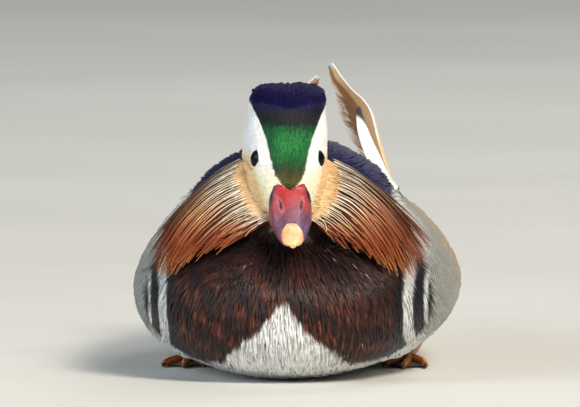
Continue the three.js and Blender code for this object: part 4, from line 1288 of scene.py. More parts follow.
@dataclass(frozen=True)
class Coat:
    """Feathers of one kind over part of the skin."""

    name: str
    slot: str
    spacing: float
    shortest: float
    longest: float
    half: float
    where: Callable[[Array, Array], Array]
    finish: Plumage
    seed: int
    rows: int = 4
    root_lift: float = -0.3
    tip_lift: float = 0.9
    cup: float = 0.25
    stray: float = 0.12
    tip_width: float = 0.18
    uneven: float = 0.16
    tip_shade: float = 1.0

    def lengths(self, roots: Array) -> Array:
        """Give the length of each feather, longest far from the bill.

        Args:
            roots: Roots of the feathers, in mm.

        Returns:
            The lengths in mm.
        """
        own = HEAD.into(roots)
        far = np.linalg.norm(own - BILL_ROOT, axis=-1)
        return self.shortest + (self.longest - self.shortest) * step(4, 50, far)

    def build(self, skin: Skin) -> Piece:
        """Grow the feathers over the skin.

        Args:
            skin: The skin that they grow from.

        Returns:
            One mesh with all of them.
        """
        dice = np.random.default_rng(self.seed)
        roots, normals = skin.roots(self.spacing, self.where, self.seed)
        number = len(roots)
        length = self.lengths(roots) * dice.uniform(0.8, 1.2, number)
        wide = self.half * (length / self.longest) ** 0.5 * dice.uniform(0.85, 1.15, number)
        top = self.tip_lift * dice.uniform(0.45, 1.25, number)
        way = lie(roots, normals)
        turn = dice.normal(0, self.stray, number)[:, None]
        way = unit(way * np.cos(turn) + np.cross(way, normals) * np.sin(turn))
        shares = np.linspace(0, 1, self.rows)
        spines = [roots + normals * self.root_lift]
        ups = [normals]
        spot = roots
        for row in range(1, self.rows):
            reach = length * (shares[row] - shares[row - 1])
            spot, normal = skin.nearest(spot + way * reach[:, None])
            way = unit(way - normal * np.sum(way * normal, -1, keepdims=True))
            flow = lie(spot, normal)
            way = unit(way + 0.35 * flow)
            lift = self.root_lift + (top - self.root_lift) * math.sin(shares[row] * math.pi / 2)
            spines.append(spot + normal * lift[:, None])
            ups.append(normal)
        spine = np.stack(spines, 1)
        shape = np.interp(shares, [0, 0.35, 0.7, 0.9, 1], [0.55, 1, 0.95, 0.6, self.tip_width])
        grid = quill(spine, np.stack(ups, 1), wide, shape, self.cup, 3)
        tint = MARKINGS.all(grid * 0.75 + spine[:, :1, None] * 0.25)
        pale = dice.normal(1, self.uneven, number)[:, None, None]
        end = 1 + (self.tip_shade - 1) * step(0.55, 1, shares)[None, :, None]
        # Painted shade: each tuft is darker near its root, where it meets the skin and its neighbours.
        base = 0.82 + 0.18 * step(0, 0.3, shares)[None, :, None]
        tint[..., :3] = np.clip(tint[..., :3] * (pale * end * base)[..., None], 0, 0.95)
        clear = ~(EYES[0].covers(spine) | EYES[1].covers(spine)).any(1)
        weave = Weave()
        weave.sheets(grid[clear], tint[clear], skin.unwrap(roots[clear]))
        return weave.build(self.name, self.finish.make())


def on_face(points: Array, normals: Array) -> Array:
    """Tell where the short plumage of face and crown grows."""
    return (HEAD.height(points) < 0.6) & (HEAD.into(points)[..., 1] > -104.2)


def on_cheek(points: Array, normals: Array) -> Array:
    """Tell where the longer feathers of the cheek grow, in front of the ruff.

    Args:
        points: Points on the head.
        normals: Their directions outwards.

    Returns:
        True for each point inside.
    """
    own = HEAD.into(points)
    edge = 81 + 3.1 * (np.abs(own[..., 0]) - 10.5)
    inside = (np.abs(own[..., 0]) > 11) & (own[..., 2] < np.minimum(edge - 1.5, 95)) & (own[..., 2] > 72)
    return (HEAD.height(points) < 0.6) & inside & (own[..., 1] > -99) & (own[..., 1] < -70)


def on_crown_top(points: Array, normals: Array) -> Array:
    """Tell where the skin belongs to the crest alone."""
    return (CREST.height(points) < 0.6) & (HEAD.height(points) >= 0.6)


def on_body(points: Array, normals: Array) -> Array:
    """Tell where the skin belongs to the body."""
    return BODY.height(points) - swell(points) < 0.4


def on_neck(points: Array, normals: Array) -> Array:
    """Tell where the skin belongs to the neck."""
    free = on_face(points, normals) | on_crown_top(points, normals) | on_body(points, normals)
    return ~free & (points[..., 1] > -112)


def on_breast(points: Array, normals: Array) -> Array:
    """Tell where the loose breast plumage grows."""
    line = -58 + 0.25 * np.maximum(points[..., 2] - 60, 0)
    return on_body(points, normals) & (points[..., 1] < line) & (points[..., 2] > 7)


def on_flank(points: Array, normals: Array) -> Array:
    """Tell where the flank's broad feathers grow.

    Args:
        points: Points on the body.
        normals: Their directions outwards.

    Returns:
        True for each point inside.
    """
    side = np.abs(points[..., 0]) > FLANK_EDGE - 0.5
    span = (points[..., 1] > -62) & (points[..., 1] < 142)
    return on_body(points, normals) & side & span & (points[..., 2] > 12) & ~on_breast(points, normals)


def on_belly(points: Array, normals: Array) -> Array:
    """Tell where the belly's down grows."""
    low = (points[..., 2] < 14) | ((points[..., 1] > 90) & (normals[..., 2] < -0.15))
    return on_body(points, normals) & low & ~on_breast(points, normals) & ~on_flank(points, normals)


def on_back(points: Array, normals: Array) -> Array:
    """Tell where the back and rump grow."""
    taken = on_breast(points, normals) | on_flank(points, normals) | on_belly(points, normals)
    return on_body(points, normals) & ~taken & (points[..., 1] > -6)


def on_mantle(points: Array, normals: Array) -> Array:
    """Tell where the fluffy mantle and shoulders grow."""
    taken = on_breast(points, normals) | on_flank(points, normals) | on_belly(points, normals)
    return on_body(points, normals) & ~taken & (points[..., 1] <= -4)


COATS = (
    Coat("coat_face", "head", 0.74, 1.6, 3.2, 0.4, on_face,
        Plumage("face down", lines=2.0, depth=0.12, metal=0.3, sheen=0.0, specular=0.25), 11, 3, -0.15,
        0.45, uneven=0.06),
    Coat("coat_cheek", "head", 0.7, 3.2, 6.0, 0.3, on_cheek,
        Plumage("cheek down", lines=2.0, depth=0.12, sheen=0.0, specular=0.2), 19, 5, -0.2, 1.3, stray=0.12,
        uneven=0.06),
    Coat("coat_crown", "crest", 0.9, 3.2, 5.5, 0.42, on_crown_top,
        Plumage("crown down", lines=3.0, sheen=0.0, specular=0.1, metal=0.25), 12, tip_lift=0.5, stray=0.07,
        uneven=0.3),
    Coat("coat_neck", "neck", 1.7, 8, 9, 0.9, on_neck, Plumage("neck down"), 13),
    Coat("coat_breast", "breast", 1.08, 7, 9, 0.46, on_breast,
        Plumage("breast down", lines=4.0, roughness=0.5, sheen=0.05, metal=0.6), 14, 4, -0.4, 1.4,
        uneven=0.32),
    Coat("coat_mantle", "mantle", 1.4, 8, 11, 0.6, on_mantle,
        Plumage("mantle down", lines=5.0, sheen=0.05, specular=0.25), 18, 4, -0.4, 2.6, stray=0.2),
    Coat("coat_back", "mantle", 1.9, 11, 13, 1.3, on_back,
        Plumage("back down", lines=8.0, sheen=0.05, specular=0.25), 15, 4, -0.4, 1.5),
    Coat("coat_flank", "flank_left", 2.5, 12, 15, 3.2, on_flank,
        Plumage("flank feathers", Barbs.BARRED, 0.6, 0.2, 0.2, 30.0, bars=62.0, metal=0.1), 16, 6, -0.4,
        1.5, stray=0.06, tip_width=0.3, uneven=0.07),
    Coat("coat_belly", "belly", 2.2, 9, 12, 1.7, on_belly, Plumage("belly down", lines=9.0), 17, 4, -0.4,
        1.2),
)


# Ruff and crest
@dataclass(frozen=True)
class Ruff:
    """The fan of long pointed cheek plumes on one side of the face, each with a pale raised shaft."""

    side: int
    layers: int = 4
    plumes: int = 38
    half: float = 0.95
    shaft: float = 0.18
    rows: int = 14
    tufts: int = 1300
    roots: Rows = ((18.7, -71, 98), (19.6, -76, 93), (19.4, -81, 87.5), (17, -88, 80.5), (13.8, -93.5, 75),
        (9, -98, 71.5))
    tips: Rows = ((62.8, -57, 55), (60, -73, 49), (57, -83, 45.5), (52, -91, 45.5), (46, -97, 49),
        (37, -101, 54), (27, -102.5, 59.5))
    bends: Numbers = (4, 10, 12, 10, 6, 3)

    def lines(self, place: Array, shares: Array) -> Array:
        """Lay the middle lines of plumes from the cheek to the edge of the fan.

        Args:
            place: Share of the way round the fan for each plume, from the top.
            shares: Share of the way along, one row for each plume.

        Returns:
            Points for each plume.
        """
        mirror = np.array([self.side, 1, 1])
        full = max(self.side, 0)
        outer = 1.8 * full * np.sin(math.pi * place)
        high = full * step(0.35, 0, place)
        start = smooth_path(self.roots, place) + np.stack([outer, 0 * place, 0 * place], -1)
        end = smooth_path(self.tips, place) + np.stack([1.4 * high, 0 * place, 4 * high], -1)
        root = HEAD.out(start * mirror)[:, None]
        tip = (end * mirror)[:, None]
        reach = np.linalg.norm(tip - root, axis=-1, keepdims=True) / 54
        arch = smooth_path(self.bends, place)[:, None] * reach
        bend = (root + tip) / 2 + arch * np.array([0.64 * self.side, -0.3, 0.77])
        t = shares[..., None]
        return root * (1 - t) ** 2 + 2 * bend * t * (1 - t) + tip * t * t

    def laid(self, place: Array, shares: Array, raised: Array, sway: Array) -> tuple[Array, Array]:
        """Lay plumes over head and body.

        Args:
            place: Share of the way round the fan for each plume.
            shares: Share of the way along at each row.
            raised: Height over the fan's own sheet at each row.
            sway: Shift sideways at each row.

        Returns:
            Middle points and the directions out of the fan.
        """
        spine = self.lines(place, shares)
        beside = self.lines(np.clip(place + 0.02, 0, 1), shares) - self.lines(np.clip(place - 0.02, 0, 1),
            shares)
        along = unit(np.gradient(spine, axis=1))
        out = unit(np.cross(beside, along))
        out = out * np.sign(np.sum(out * np.array([self.side, -1, 0.6]), -1, keepdims=True))
        flat = BODY.clear(HEAD.clear(spine, 0.5), 1.2)
        across = unit(np.cross(along, out))
        return flat + out * raised[..., None] + across * sway[..., None], out

    def cheek(self, weave: Weave, dice: np.random.Generator) -> None:
        """Cover the roots of the plumes with short buff feathers.

        Args:
            weave: Where they go.
            dice: Source of the unevenness.
        """
        number = self.tufts
        place = dice.uniform(0.1, 1, number)
        wide = np.interp(place, [0, 0.12, 0.4, 0.75, 1], [0.01, 0.03, 0.05, 0.09, 0.08])
        start = -0.1 + (wide + 0.05) * dice.random(number)
        length = np.interp(place, [0, 0.6, 1], [0.06, 0.09, 0.2]) * dice.uniform(0.7, 1.3, number)
        share = np.linspace(0, 1, 4)[None, :]
        shares = start[:, None] + length[:, None] * share
        raised = 0.2 + 1.0 * dice.uniform(0.1, 1, (number, 1)) * np.sin(share * 1.5)
        spine, out = self.laid(place, shares, raised, dice.normal(0, 0.3, (number, 1)) * share)
        shape = np.array([0.6, 1, 0.6, 0.1])
        grid = quill(spine, out, dice.uniform(0.16, 0.3, number), shape, 0.25, 3)
        depth = (start[:, None] + 0.08) / wide[:, None] + 0.35 * share
        tone = layered(COLOUR.buff,
            (COLOUR.buff_deep, step(0.3, 1.3, depth)),
            (COLOUR.cream, step(0.6, 0.0, depth) * 0.35),
            (COLOUR.chestnut, step(0.9, 0.98, place)[:, None] * 0.6))
        tone = tone * dice.uniform(0.88, 1.08, (number, 1, 1))
        weave.sheets(grid, glossed(tone)[:, :, None], np.stack([0.05 + 0.9 * place, 0.02 + 0 * place], -1))

    def build(self) -> Piece:
        """Build the layers of the fan, the lowest first.

        Returns:
            The ruff.
        """
        dice = np.random.default_rng(50 + self.side)
        count = self.plumes
        weave = Weave()
        share = np.linspace(0, 1, self.rows)
        for layer in range(self.layers):
            high = layer / (self.layers - 1)
            place = np.linspace(0.0, 1.0, count) + dice.normal(0, 0.01, count) + 0.4 / count * (layer % 2)
            place = np.clip(place, 0, 1)
            start = 0.08 - 0.06 * high + dice.uniform(-0.03, 0.03, count)
            end = 1.0 - 0.1 * high**2 - dice.uniform(-0.02, 0.13, count) * (0.5 + high)
            end = end * (1 - dice.uniform(0, 0.65, count) * step(0.68, 0.95, place))
            shares = start[:, None] + (end - start)[:, None] * share
            raised = 0.3 + 0.55 * layer * np.minimum(5 * np.clip(shares, 0, 1), 1) + dice.uniform(0, 0.45,
                (count, 1))
            wave = np.sin(share * dice.uniform(7, 12, (count, 1)) + dice.uniform(0, 6.3, (count, 1)))
            sway = wave * 0.3 * (1 - 0.4 * share) + dice.normal(0, 1.3, (count, 1)) * share**2
            spine, out = self.laid(place, shares, raised, sway)
            size = dice.uniform(0.7, 1.25, count)
            shape = np.interp(share, [0, 0.2, 0.5, 0.75, 0.9, 1], [0.5, 0.8, 1, 0.75, 0.4, 0.05])
            grid = quill(spine, out, self.half * size, shape, 0.3, 3)
            dark = blend(srgb(52, 28, 22), srgb(112, 44, 20), step(0.0, 0.5, place))[:, None]
            tone = layered(dark * 0.4,
                (dark * 1.25, step(0.1, 0.6, shares)),
                (srgb(150, 74, 34), step(0.55, 1.02, shares) * 0.8))
            tone = tone * dice.uniform(0.5, 1.25, (count, 1, 1))
            chart = np.stack([0.05 + 0.9 * place, 0.05 + 0.9 * (layer + dice.random(count)) / self.layers],
                -1)
            weave.sheets(grid, glossed(tone, 0.1)[:, :, None], chart)
            ridge = quill(spine + out * 0.16, out, self.shaft * size, np.linspace(1.15, 0.5, self.rows),
                0.4, 3)
            pale = layered(srgb(255, 242, 216),
                (srgb(250, 206, 146), step(0.15, 0.45, shares)),
                (srgb(186, 96, 44), step(0.3, 0.75, shares)),
                (srgb(238, 170, 100), step(0.78, 1.0, shares) * step(0.2, 0.5, place)[:, None]),
                (dark, (step(0.4, 0.0, place) * 0.6)[:, None] * step(0.0, 0.3, shares)))
            pale = pale * dice.uniform(0.75, 1.08, (count, 1, 1))
            weave.sheets(ridge, glossed(pale)[:, :, None], chart)
        self.cheek(weave, dice)
        finish = Plumage("ruff plumes", Barbs.VANE, 0.6, 0.0, 0.2, 30.0, specular=0.25)
        return weave.build(f"ruff_plumes_{SIDES[self.side]}", finish.make())


@dataclass(frozen=True)
class Crest:
    """Long silky plumes swept back over the crown."""

    plumes: int = 520
    rows: int = 8
    half: float = 0.75
    hang: float = 0.45

    def build(self) -> Piece:
        """Lay the plumes along the crest.

        Returns:
            The crest.
        """
        dice = np.random.default_rng(61)
        number = self.plumes
        first = dice.uniform(-68, -24, number)
        last = np.minimum(first + dice.uniform(24, 44, number), dice.uniform(-10, 9, number))
        angle = dice.uniform(8, 172, number)
        angle = np.radians(np.where(first < -48, 90 + (angle - 90) * 0.72, angle))
        shares = np.linspace(0, 1, self.rows)
        along = first[:, None] + (last - first)[:, None] * shares
        pull = angle[:, None] + (math.pi / 2 - angle[:, None]) * 0.18 * shares
        lift = -1.3 + dice.uniform(0.7, 1.5, (number, 1)) * np.sin(math.pi * np.minimum(0.05 + shares, 1)
            * 0.7)
        on = np.clip(along, -86, 1.5)
        spine = CREST.surface(on, pull, lift)
        out = unit(CREST.surface(on, pull, lift + 1.0) - spine)
        spine[..., 1] += np.maximum(along - on, 0)
        spine[..., 2] -= self.hang * np.maximum(along + 9, 0)
        taper = np.interp(shares, [0, 0.15, 0.6, 0.85, 1], [0.4, 0.9, 1, 0.6, 0.05])
        grid = quill(spine, out, self.half * dice.uniform(0.6, 1.3, number), taper, 0.3, 3)
        steep = np.abs(np.degrees(pull) - 90)
        tone = layered(COLOUR.navy,
            (COLOUR.copper, step(-56, -38, along) * step(60, 30, steep) * 0.85),
            (COLOUR.speculum, step(-38, -8, along) * 0.6),
            (COLOUR.green_deep, step(35, 62, steep) * step(-60, -36, along) * 0.8),
            (COLOUR.white, step(62, 70, steep) * step(-8, -24, along)))
        tone = tone * dice.uniform(0.7, 1.3, (number, 1, 1))
        tone = glossed(np.clip(tone, 0, 0.95), 0.2 * step(72, 64, steep))
        chart = np.stack([np.degrees(angle) / 180, (first + 90) / 100], -1) * 0.9 + 0.05
        weave = Weave()
        weave.sheets(grid, tone[:, :, None], chart)
        return weave.build("crest_plumes", Plumage("crest plumes", lines=5.0, sheen=0.0, specular=0.1,
            metal=0.25).make())


# Bill and eyes
def shut(grid: Array, first: Array, last: Array) -> tuple[Array, list[Array]]:
    """Close a stack of rings with a fan at each end.

    Args:
        grid: Rings of points.
        first: Point that closes the first ring.
        last: Point that closes the last ring.

    Returns:
        All points and the faces.
    """
    rows, around = grid.shape[:2]
    index = np.arange(rows * around).reshape(rows, around)
    after = np.roll(index, -1, axis=1)
    quads = hoops(rows, around)[..., [0, 3, 2, 1]]
    base = np.full(around, rows * around)
    caps = [np.stack([index[0], after[0], base], -1), np.stack([after[-1], index[-1], base + 1], -1)]
    return np.vstack([grid.reshape(-1, 3), first, last]), [quads, *caps]


@dataclass(frozen=True)
class Bill:
    """The upper bill with nostrils, the nail and the lower bill. Sizes are in the head's own axes."""

    tops: Rows = ((-95.5, 93.2), (-101.4, 89.6), (-105, 86), (-109, 80.4), (-113, 74.6), (-117, 69.2),
        (-120.2, 65.8), (-122, 63.6))
    lows: Rows = ((-94, 73.8), (-99, 71.6), (-103, 69.7), (-106.6, 67.8), (-110.6, 65.7), (-114.6, 63.6),
        (-118.2, 62.9), (-121, 62.5))
    halves: Numbers = (7.8, 8.4, 9.5, 8.9, 7.6, 6.2, 4.6, 2.8)
    tip: tuple[float, float] = (-122.4, 62.8)
    jaw_down: tuple[float, float] = (0.41, -0.912)
    jaw_depths: Numbers = (3.2, 3.4, 3.4, 3.0, 2.5, 1.9, 1.2)
    jaw_halves: Numbers = (7.0, 7.6, 7.6, 7.0, 5.8, 4.4, 2.8)
    nail_line: Rows = ((2.4, -115.4, 71.7), (4.5, -117.7, 69.4), (5.0, -119.9, 67.0), (4.4, -121.8, 64.8),
        (2.8, -122.9, 62.7), (0.9, -122.6, 61.2))
    rows: int = 120
    around: int = 112

    def notch(self, grid: Array) -> Array:
        """Tell how far points lie below the V in which the forehead's feathers end on the bill."""
        return 86.0 + 0.515 * np.abs(grid[..., 0]) - grid[..., 2]

    def upper(self) -> Piece:
        """Build the upper bill: a boxy base that stands proud of the face below the V, and sunk nostrils.

        Returns:
            The upper bill.
        """
        shares = np.linspace(0, 1, self.rows)
        tops = smooth_path(self.tops, shares)
        lows = smooth_path(self.lows, shares)
        wide = smooth_path(self.halves, shares)[:, 0]
        turn = full_turn(self.around)
        above = np.interp(shares, [0, 0.1, 0.3, 1], [5, 4.2, 2.5, 2.3])[:, None]
        below = np.interp(shares, [0, 0.3, 0.6, 1], [4.5, 4, 2.8, 2.2])[:, None]
        grid = ring(tops, lows, wide, turn, above, below, 0.28)
        along = shares[:, None]
        proud = HEAD.into(HEAD.clear(HEAD.out(grid), 0.5))
        free = step(-0.5, 0.3, self.notch(proud)) * step(0.11, 0.14, along)
        grid = grid + (proud - grid) * free[..., None]
        out = unit(np.cross(np.roll(grid, -1, axis=1) - np.roll(grid, 1, axis=1),
            np.gradient(grid, axis=0)))
        side = np.abs(grid[..., 0])
        up = grid[..., 2]
        slit = side - 5.2 + 0.22 * (81.5 - up)
        slit = np.hypot(slit, (up - 79.6) * 0.3) + 9 * step(0.62, 0.66, along)
        hole = step(0.75, 0.35, slit)
        rim = step(1.5, 0.9, slit) * (1 - hole)
        uneven = mottle(grid, 2.4, 71)
        grain = mottle(grid, 0.5, 72)
        low_edge = step(0.16, 0.02, (up - lows[:, None, 1]) / np.maximum(tops - lows, 1)[:, None, 1])
        saddle = step(3.6, 5.4, side) * step(8.0, 6.2, side) * step(0.3, 0.45, along) * step(0.75, 0.55,
            along)
        sunk = 1.6 * (1 - free) * step(0.33, 0.26, along)
        lift = -1.0 * hole + 0.2 * rim - 0.25 * saddle + 0.03 * grain + 0.1 * uneven + 0.2 * low_edge - sunk
        grid = grid + out * lift[..., None]
        red = layered(COLOUR.bill_red,
            (COLOUR.bill_violet, step(0.3, 0.62, along + 0.08 * uneven + 0.05 * grain)),
            (COLOUR.bill_violet, step(6.6, 9.0, side + 0.5 * uneven) * 0.6))
        slate = step(0.42, 0.7, along) * step(0.5, 4.5, grid[..., 0] + uneven) * 0.55
        red = layered(red,
            (COLOUR.bill_slate, slate),
            (COLOUR.bill_pink, step(0.74, 0.92, along) * 0.7),
            (srgb(84, 24, 34), step(0.1, 1.1, uneven + 0.6 * grain) * 0.55))
        speck = step(0.75, 1.0, mottle(grid, 0.5, 73)) * step(-0.3, 0.6, mottle(grid, 3, 74))
        # The dark red inside each nostril is painted shade in the opening.
        red = layered(red,
            (srgb(60, 28, 40), speck * 0.6),
            (srgb(70, 6, 12), hole),
            (srgb(170, 120, 128), rim * 0.45))
        edge = step(-1.1, -0.4, side - 6.8 - 0.2 * (89.5 - up)) * step(0.36, 0.26, along)
        red = layered(red,
            (srgb(14, 12, 16), edge * 0.9),
            (srgb(30, 14, 20), low_edge * step(0.95, 0.7, along) * 0.85))
        grid = grid[:, ::-1]
        red = red[:, ::-1]
        points, faces = shut(grid, grid[0].mean(0), np.array([0, *self.tip]))
        colours = glossed(red.reshape(-1, 3))
        colours = np.vstack([colours, colours[:1], colours[-1:]])
        chart = np.stack(np.meshgrid(np.linspace(0, 1, self.around), shares), -1).reshape(-1, 2)
        chart = np.vstack([chart, [[0.5, 0.0]], [[0.5, 1.0]]])
        weave = Weave()
        weave.keep(HEAD.out(points), colours, chart, chart, faces)
        return weave.build("bill_upper_horn", Horn("bill horn", 0.42, 0.3, grain=1500.0).make())

    def nail(self) -> Piece:
        """Build the pale hooked nail, a rounded shield over the tip.

        Returns:
            The nail.
        """
        shares = np.linspace(0, 1, 40)
        turn = full_turn(48)
        line = smooth_path(self.nail_line, shares)
        way = unit(np.gradient(line[:, 1:], axis=0))
        inward = np.stack([-way[:, 1], way[:, 0]], -1)
        inward = inward * np.sign(inward[:, :1] + 1e-9)
        round_off = np.sin(np.clip(shares, 0.02, 0.98) * math.pi) ** 0.5
        x = line[:, :1] * np.cos(turn)
        deep = 2.3 * round_off[:, None] * (1 - np.sin(turn))
        spot = line[:, None, 1:] + inward[:, None] * deep[..., None]
        grid = np.concatenate([x[..., None], spot], -1)[:, ::-1]
        points, faces = shut(grid, grid[0].mean(0), grid[-1].mean(0))
        tone = layered(COLOUR.nail,
            (COLOUR.bill_pink, step(3.4, 5.0, np.abs(points[:, 0])) * 0.6),
            (COLOUR.bill_pink, step(69.4, 71.4, points[:, 2]) * 0.6),
            (COLOUR.cream, step(-0.3, 0.8, mottle(points, 2.2, 75)) * 0.3))
        colours = glossed(tone)
        weave = Weave()
        chart = points[:, [0, 2]] * 0.01 + 0.5
        weave.keep(HEAD.out(points), colours, chart, chart, faces)
        return weave.build("bill_nail", Horn("nail horn", 0.36, 0.35, grain=1100.0).make())

    def lower(self) -> Piece:
        """Build the lower bill, narrower and tucked under the upper one.

        Returns:
            The lower bill.
        """
        shares = np.linspace(0, 1, 40)
        count = len(self.jaw_depths)
        tops = np.array([(y + self.jaw_down[0] * 0.4, z + self.jaw_down[1] * 0.4) for y,
            z in self.lows[:count]])
        lows = tops + np.array(self.jaw_down) * np.array(self.jaw_depths)[:, None]
        top = smooth_path(tops, shares)
        low = smooth_path(lows, shares)
        wide = smooth_path(self.jaw_halves, shares)[:, 0]
        turn = full_turn(48)
        grid = ring(top, low, wide, turn, 5.0, 2.2, 0.7)[:, ::-1]
        points, faces = shut(grid, grid[0].mean(0), np.array([0, -119.6, 61.2]))
        tone = blend(srgb(120, 60, 60), srgb(60, 34, 40), step(-0.5, 0.8, mottle(points, 3, 76)))
        colours = glossed(tone)
        chart = points[:, [0, 1]] * 0.02 + np.array([0.5, 2.6])
        weave = Weave()
        weave.keep(HEAD.out(points), colours, chart, chart, faces)
        return weave.build("bill_lower_horn", Horn("lower bill horn", 0.4, 0.3, grain=1300.0).make())


@dataclass(frozen=True)
class Horn:
    """The finish of bill, nail, claws and skin of the feet: tint from the mesh with fine grain."""

    name: str
    roughness: float = 0.4
    coat: float = 0.3
    grain: float = 1200.0
    relief: float = 0.00006

    def make(self) -> Material:
        """Build the material.

        Returns:
            The material.
        """
        graph = Graph(self.name, Roughness=self.roughness, Coat_Weight=self.coat, Coat_Roughness=0.18,
            Subsurface_Weight=0.08, Subsurface_Scale=0.002)
        colour, _ = graph.tint()
        fine = graph.noise(self.grain, 4.0)
        patch = graph.noise(self.grain / 6, 3.0)
        shade = graph.rise(fine, 0.3, 0.7, 0.84, 1.12)
        shade = graph.sum("MULTIPLY", shade, graph.rise(patch, 0.3, 0.7, 0.88, 1.1))
        graph.main("Base Color", graph.shaded(colour, shade))
        graph.main("Roughness", graph.rise(patch, 0.2, 0.8, self.roughness - 0.08, self.roughness + 0.12))
        graph.bump(graph.sum("MULTIPLY_ADD", fine, 0.6, graph.sum("MULTIPLY", patch, 0.8)), self.relief)
        return graph.material


@dataclass(frozen=True)
class Eye:
    """One eyeball with its clear front, iris and pupil, and the lids round it."""

    side: int
    radius: float = 5.6
    centre: Triple = (10.6, -85.9, 98.2)
    forward: float = 15.0
    pupil: float = 34.0
    iris: float = 52.0
    opening: float = 48.0

    def frame(self) -> tuple[Array, Array]:
        """Find the centre, and the eye's right, up and outward directions, in the duck's axes.

        Returns:
            The centre in mm and the three directions.
        """
        lean = math.radians(self.forward)
        axis = np.array([self.side * math.cos(lean), -math.sin(lean), 0.02])
        up = np.array([0, 0, 1.0])
        right = unit(np.cross(up, axis))
        axes = np.stack([right, np.cross(axis, right), unit(axis)])
        centre = np.array(self.centre) * np.array([self.side, 1, 1])
        place = HEAD.out(centre)
        turned = np.stack([HEAD.out(centre + one) - place for one in axes])
        return place, turned

    def dome(self, fall: Array, turn: Array, reach: Array) -> tuple[Array, Array]:
        """Find directions in the eye's own axes, and the points there in the duck's.

        Args:
            fall: Angle from the outward direction.
            turn: Angle round it.
            reach: Distance from the centre, in mm.

        Returns:
            The directions and the points.
        """
        place, axes = self.frame()
        way = np.stack([np.sin(fall) * np.cos(turn), np.sin(fall) * np.sin(turn), np.cos(fall) + 0 * turn],
            -1)
        return way, place + (way * reach[..., None]) @ axes

    def ball(self) -> Piece:
        """Build the eyeball.

        Returns:
            The eyeball.
        """
        fall = np.radians(np.linspace(0.6, 179.4, 60))[:, None]
        turn = full_turn(48)[None, :]
        way, grid = self.dome(fall, turn, self.radius + 0.28 * step(50, 8, np.degrees(fall)))
        degrees = np.degrees(fall) + 0 * turn
        fleck = mottle(way * 14 * np.array([1, 1, 0.2]), 1.6, 81)
        tone = layered(COLOUR.iris,
            (srgb(48, 27, 16), step(-0.2, 1.0, fleck) * 0.5),
            (srgb(4, 4, 6), step(self.pupil + 1, self.pupil - 1, degrees)),
            (srgb(14, 10, 10), step(self.iris - 4, self.iris, degrees)),
            (srgb(60, 50, 46), step(self.iris + 16, self.iris + 24, degrees)))
        points, faces = shut(grid, grid[0].mean(0), grid[-1].mean(0))
        colours = glossed(np.vstack([tone.reshape(-1, 3), tone[0, :1], tone[-1, :1]]))
        chart = points[:, 1:] * 0.05 % 1
        weave = Weave()
        weave.keep(points, colours, chart, chart, faces)
        graph = Graph("eye", Roughness=0.2, Specular_IOR_Level=0.05, Coat_Weight=0.3, Coat_Roughness=0.02,
            Coat_IOR=1.4)
        colour, _ = graph.tint()
        veins = graph.rise(graph.noise(2400.0, 3.0), 0.3, 0.7, 0.8, 1.15)
        graph.main("Base Color", graph.shaded(colour, veins))
        return weave.build(f"eyeball_{SIDES[self.side]}", graph.material)

    def lids(self) -> Piece:
        """Build the ring of lids: a dark wet rim and a white feathered edge.

        Returns:
            The lids.
        """
        rows = 12
        around = 64
        share = np.linspace(0, 1, rows)[:, None]
        turn = full_turn(around)[None, :]
        corner = 3.5 * np.abs(np.cos(turn)) ** 3
        fall = np.radians(self.opening - corner * 0.4 + 26 * share)
        puff = 0.12 + 0.62 * np.sin(math.pi * np.minimum(share * 1.15, 1)) ** 0.8
        _, grid = self.dome(fall, turn, self.radius + puff)
        tone = blend(srgb(30, 26, 28), COLOUR.white, step(0.04, 0.16, share + 0 * turn))
        chart = np.stack(np.broadcast_arrays(turn / 7, share), -1)
        weave = Weave()
        weave.keep(grid, glossed(tone), chart, chart, [hoops(rows, around)[..., [0, 3, 2, 1]]])
        finish = Plumage("lid down", lines=60.0, depth=0.15, relief=0.00004)
        return weave.build(f"lids_{SIDES[self.side]}", finish.make())

    def covers(self, points: Array) -> Array:
        """Tell which points would hide the open eye.

        Args:
            points: Any number of points, in mm.

        Returns:
            True for each point in front of the eye.
        """
        place, axes = self.frame()
        gap = points - place
        along = gap @ axes[2]
        off = np.linalg.norm(gap - along[..., None] * axes[2], axis=-1)
        return (off < 4.75) & (along > 0) & (along < 9)


EYES = (Eye(1), Eye(-1))


# Wings, sails and tail
def over_back(across: Array, along: Array, high: Array | float) -> tuple[Array, Array]:
    """Find points over the back at X and Y and a height over the body.

    Args:
        across: X in mm.
        along: Y in mm.
        high: Height over the body.

    Returns:
        Points and the outward directions there.
    """
    wide, _, _, _, above, _ = np.moveaxis(BODY.sizes(along), -1, 0)
    share = np.clip(1 - (np.abs(across) / np.maximum(wide, 0.1)) ** above, 0.0005, 1)
    angle = np.arctan2(share**0.5, (1 - share) ** 0.5 * np.sign(across))
    plain = BODY.surface(along, angle)
    out = unit(BODY.surface(along, angle, np.ones_like(along)) - plain)
    return plain + out * np.asarray(high + 0 * along)[..., None], out


def quill(spine: Array, ups: Array, half: Array, shape: Array, cup: float, columns: int) -> Array:
    """Spread single feathers about their middle lines.

    Args:
        spine: Middle points with axes feather, row, coordinate.
        ups: Outward directions at each.
        half: Half width of each feather.
        shape: Share of the half width at each row.
        cup: How far the edges bend down, as a share of the half width.
        columns: Points across.

    Returns:
        Points with axes feather, row, column, coordinate.
    """
    along = unit(np.gradient(spine, axis=1))
    across = unit(np.cross(along, ups))
    wide = np.asarray(half)[:, None] * shape[None, :]
    off = np.linspace(-1, 1, columns)
    grid = spine[:, :, None] + across[:, :, None] * (wide[..., None] * off)[..., None]
    return grid - ups[:, :, None] * (cup * wide[..., None] * off**2)[..., None]


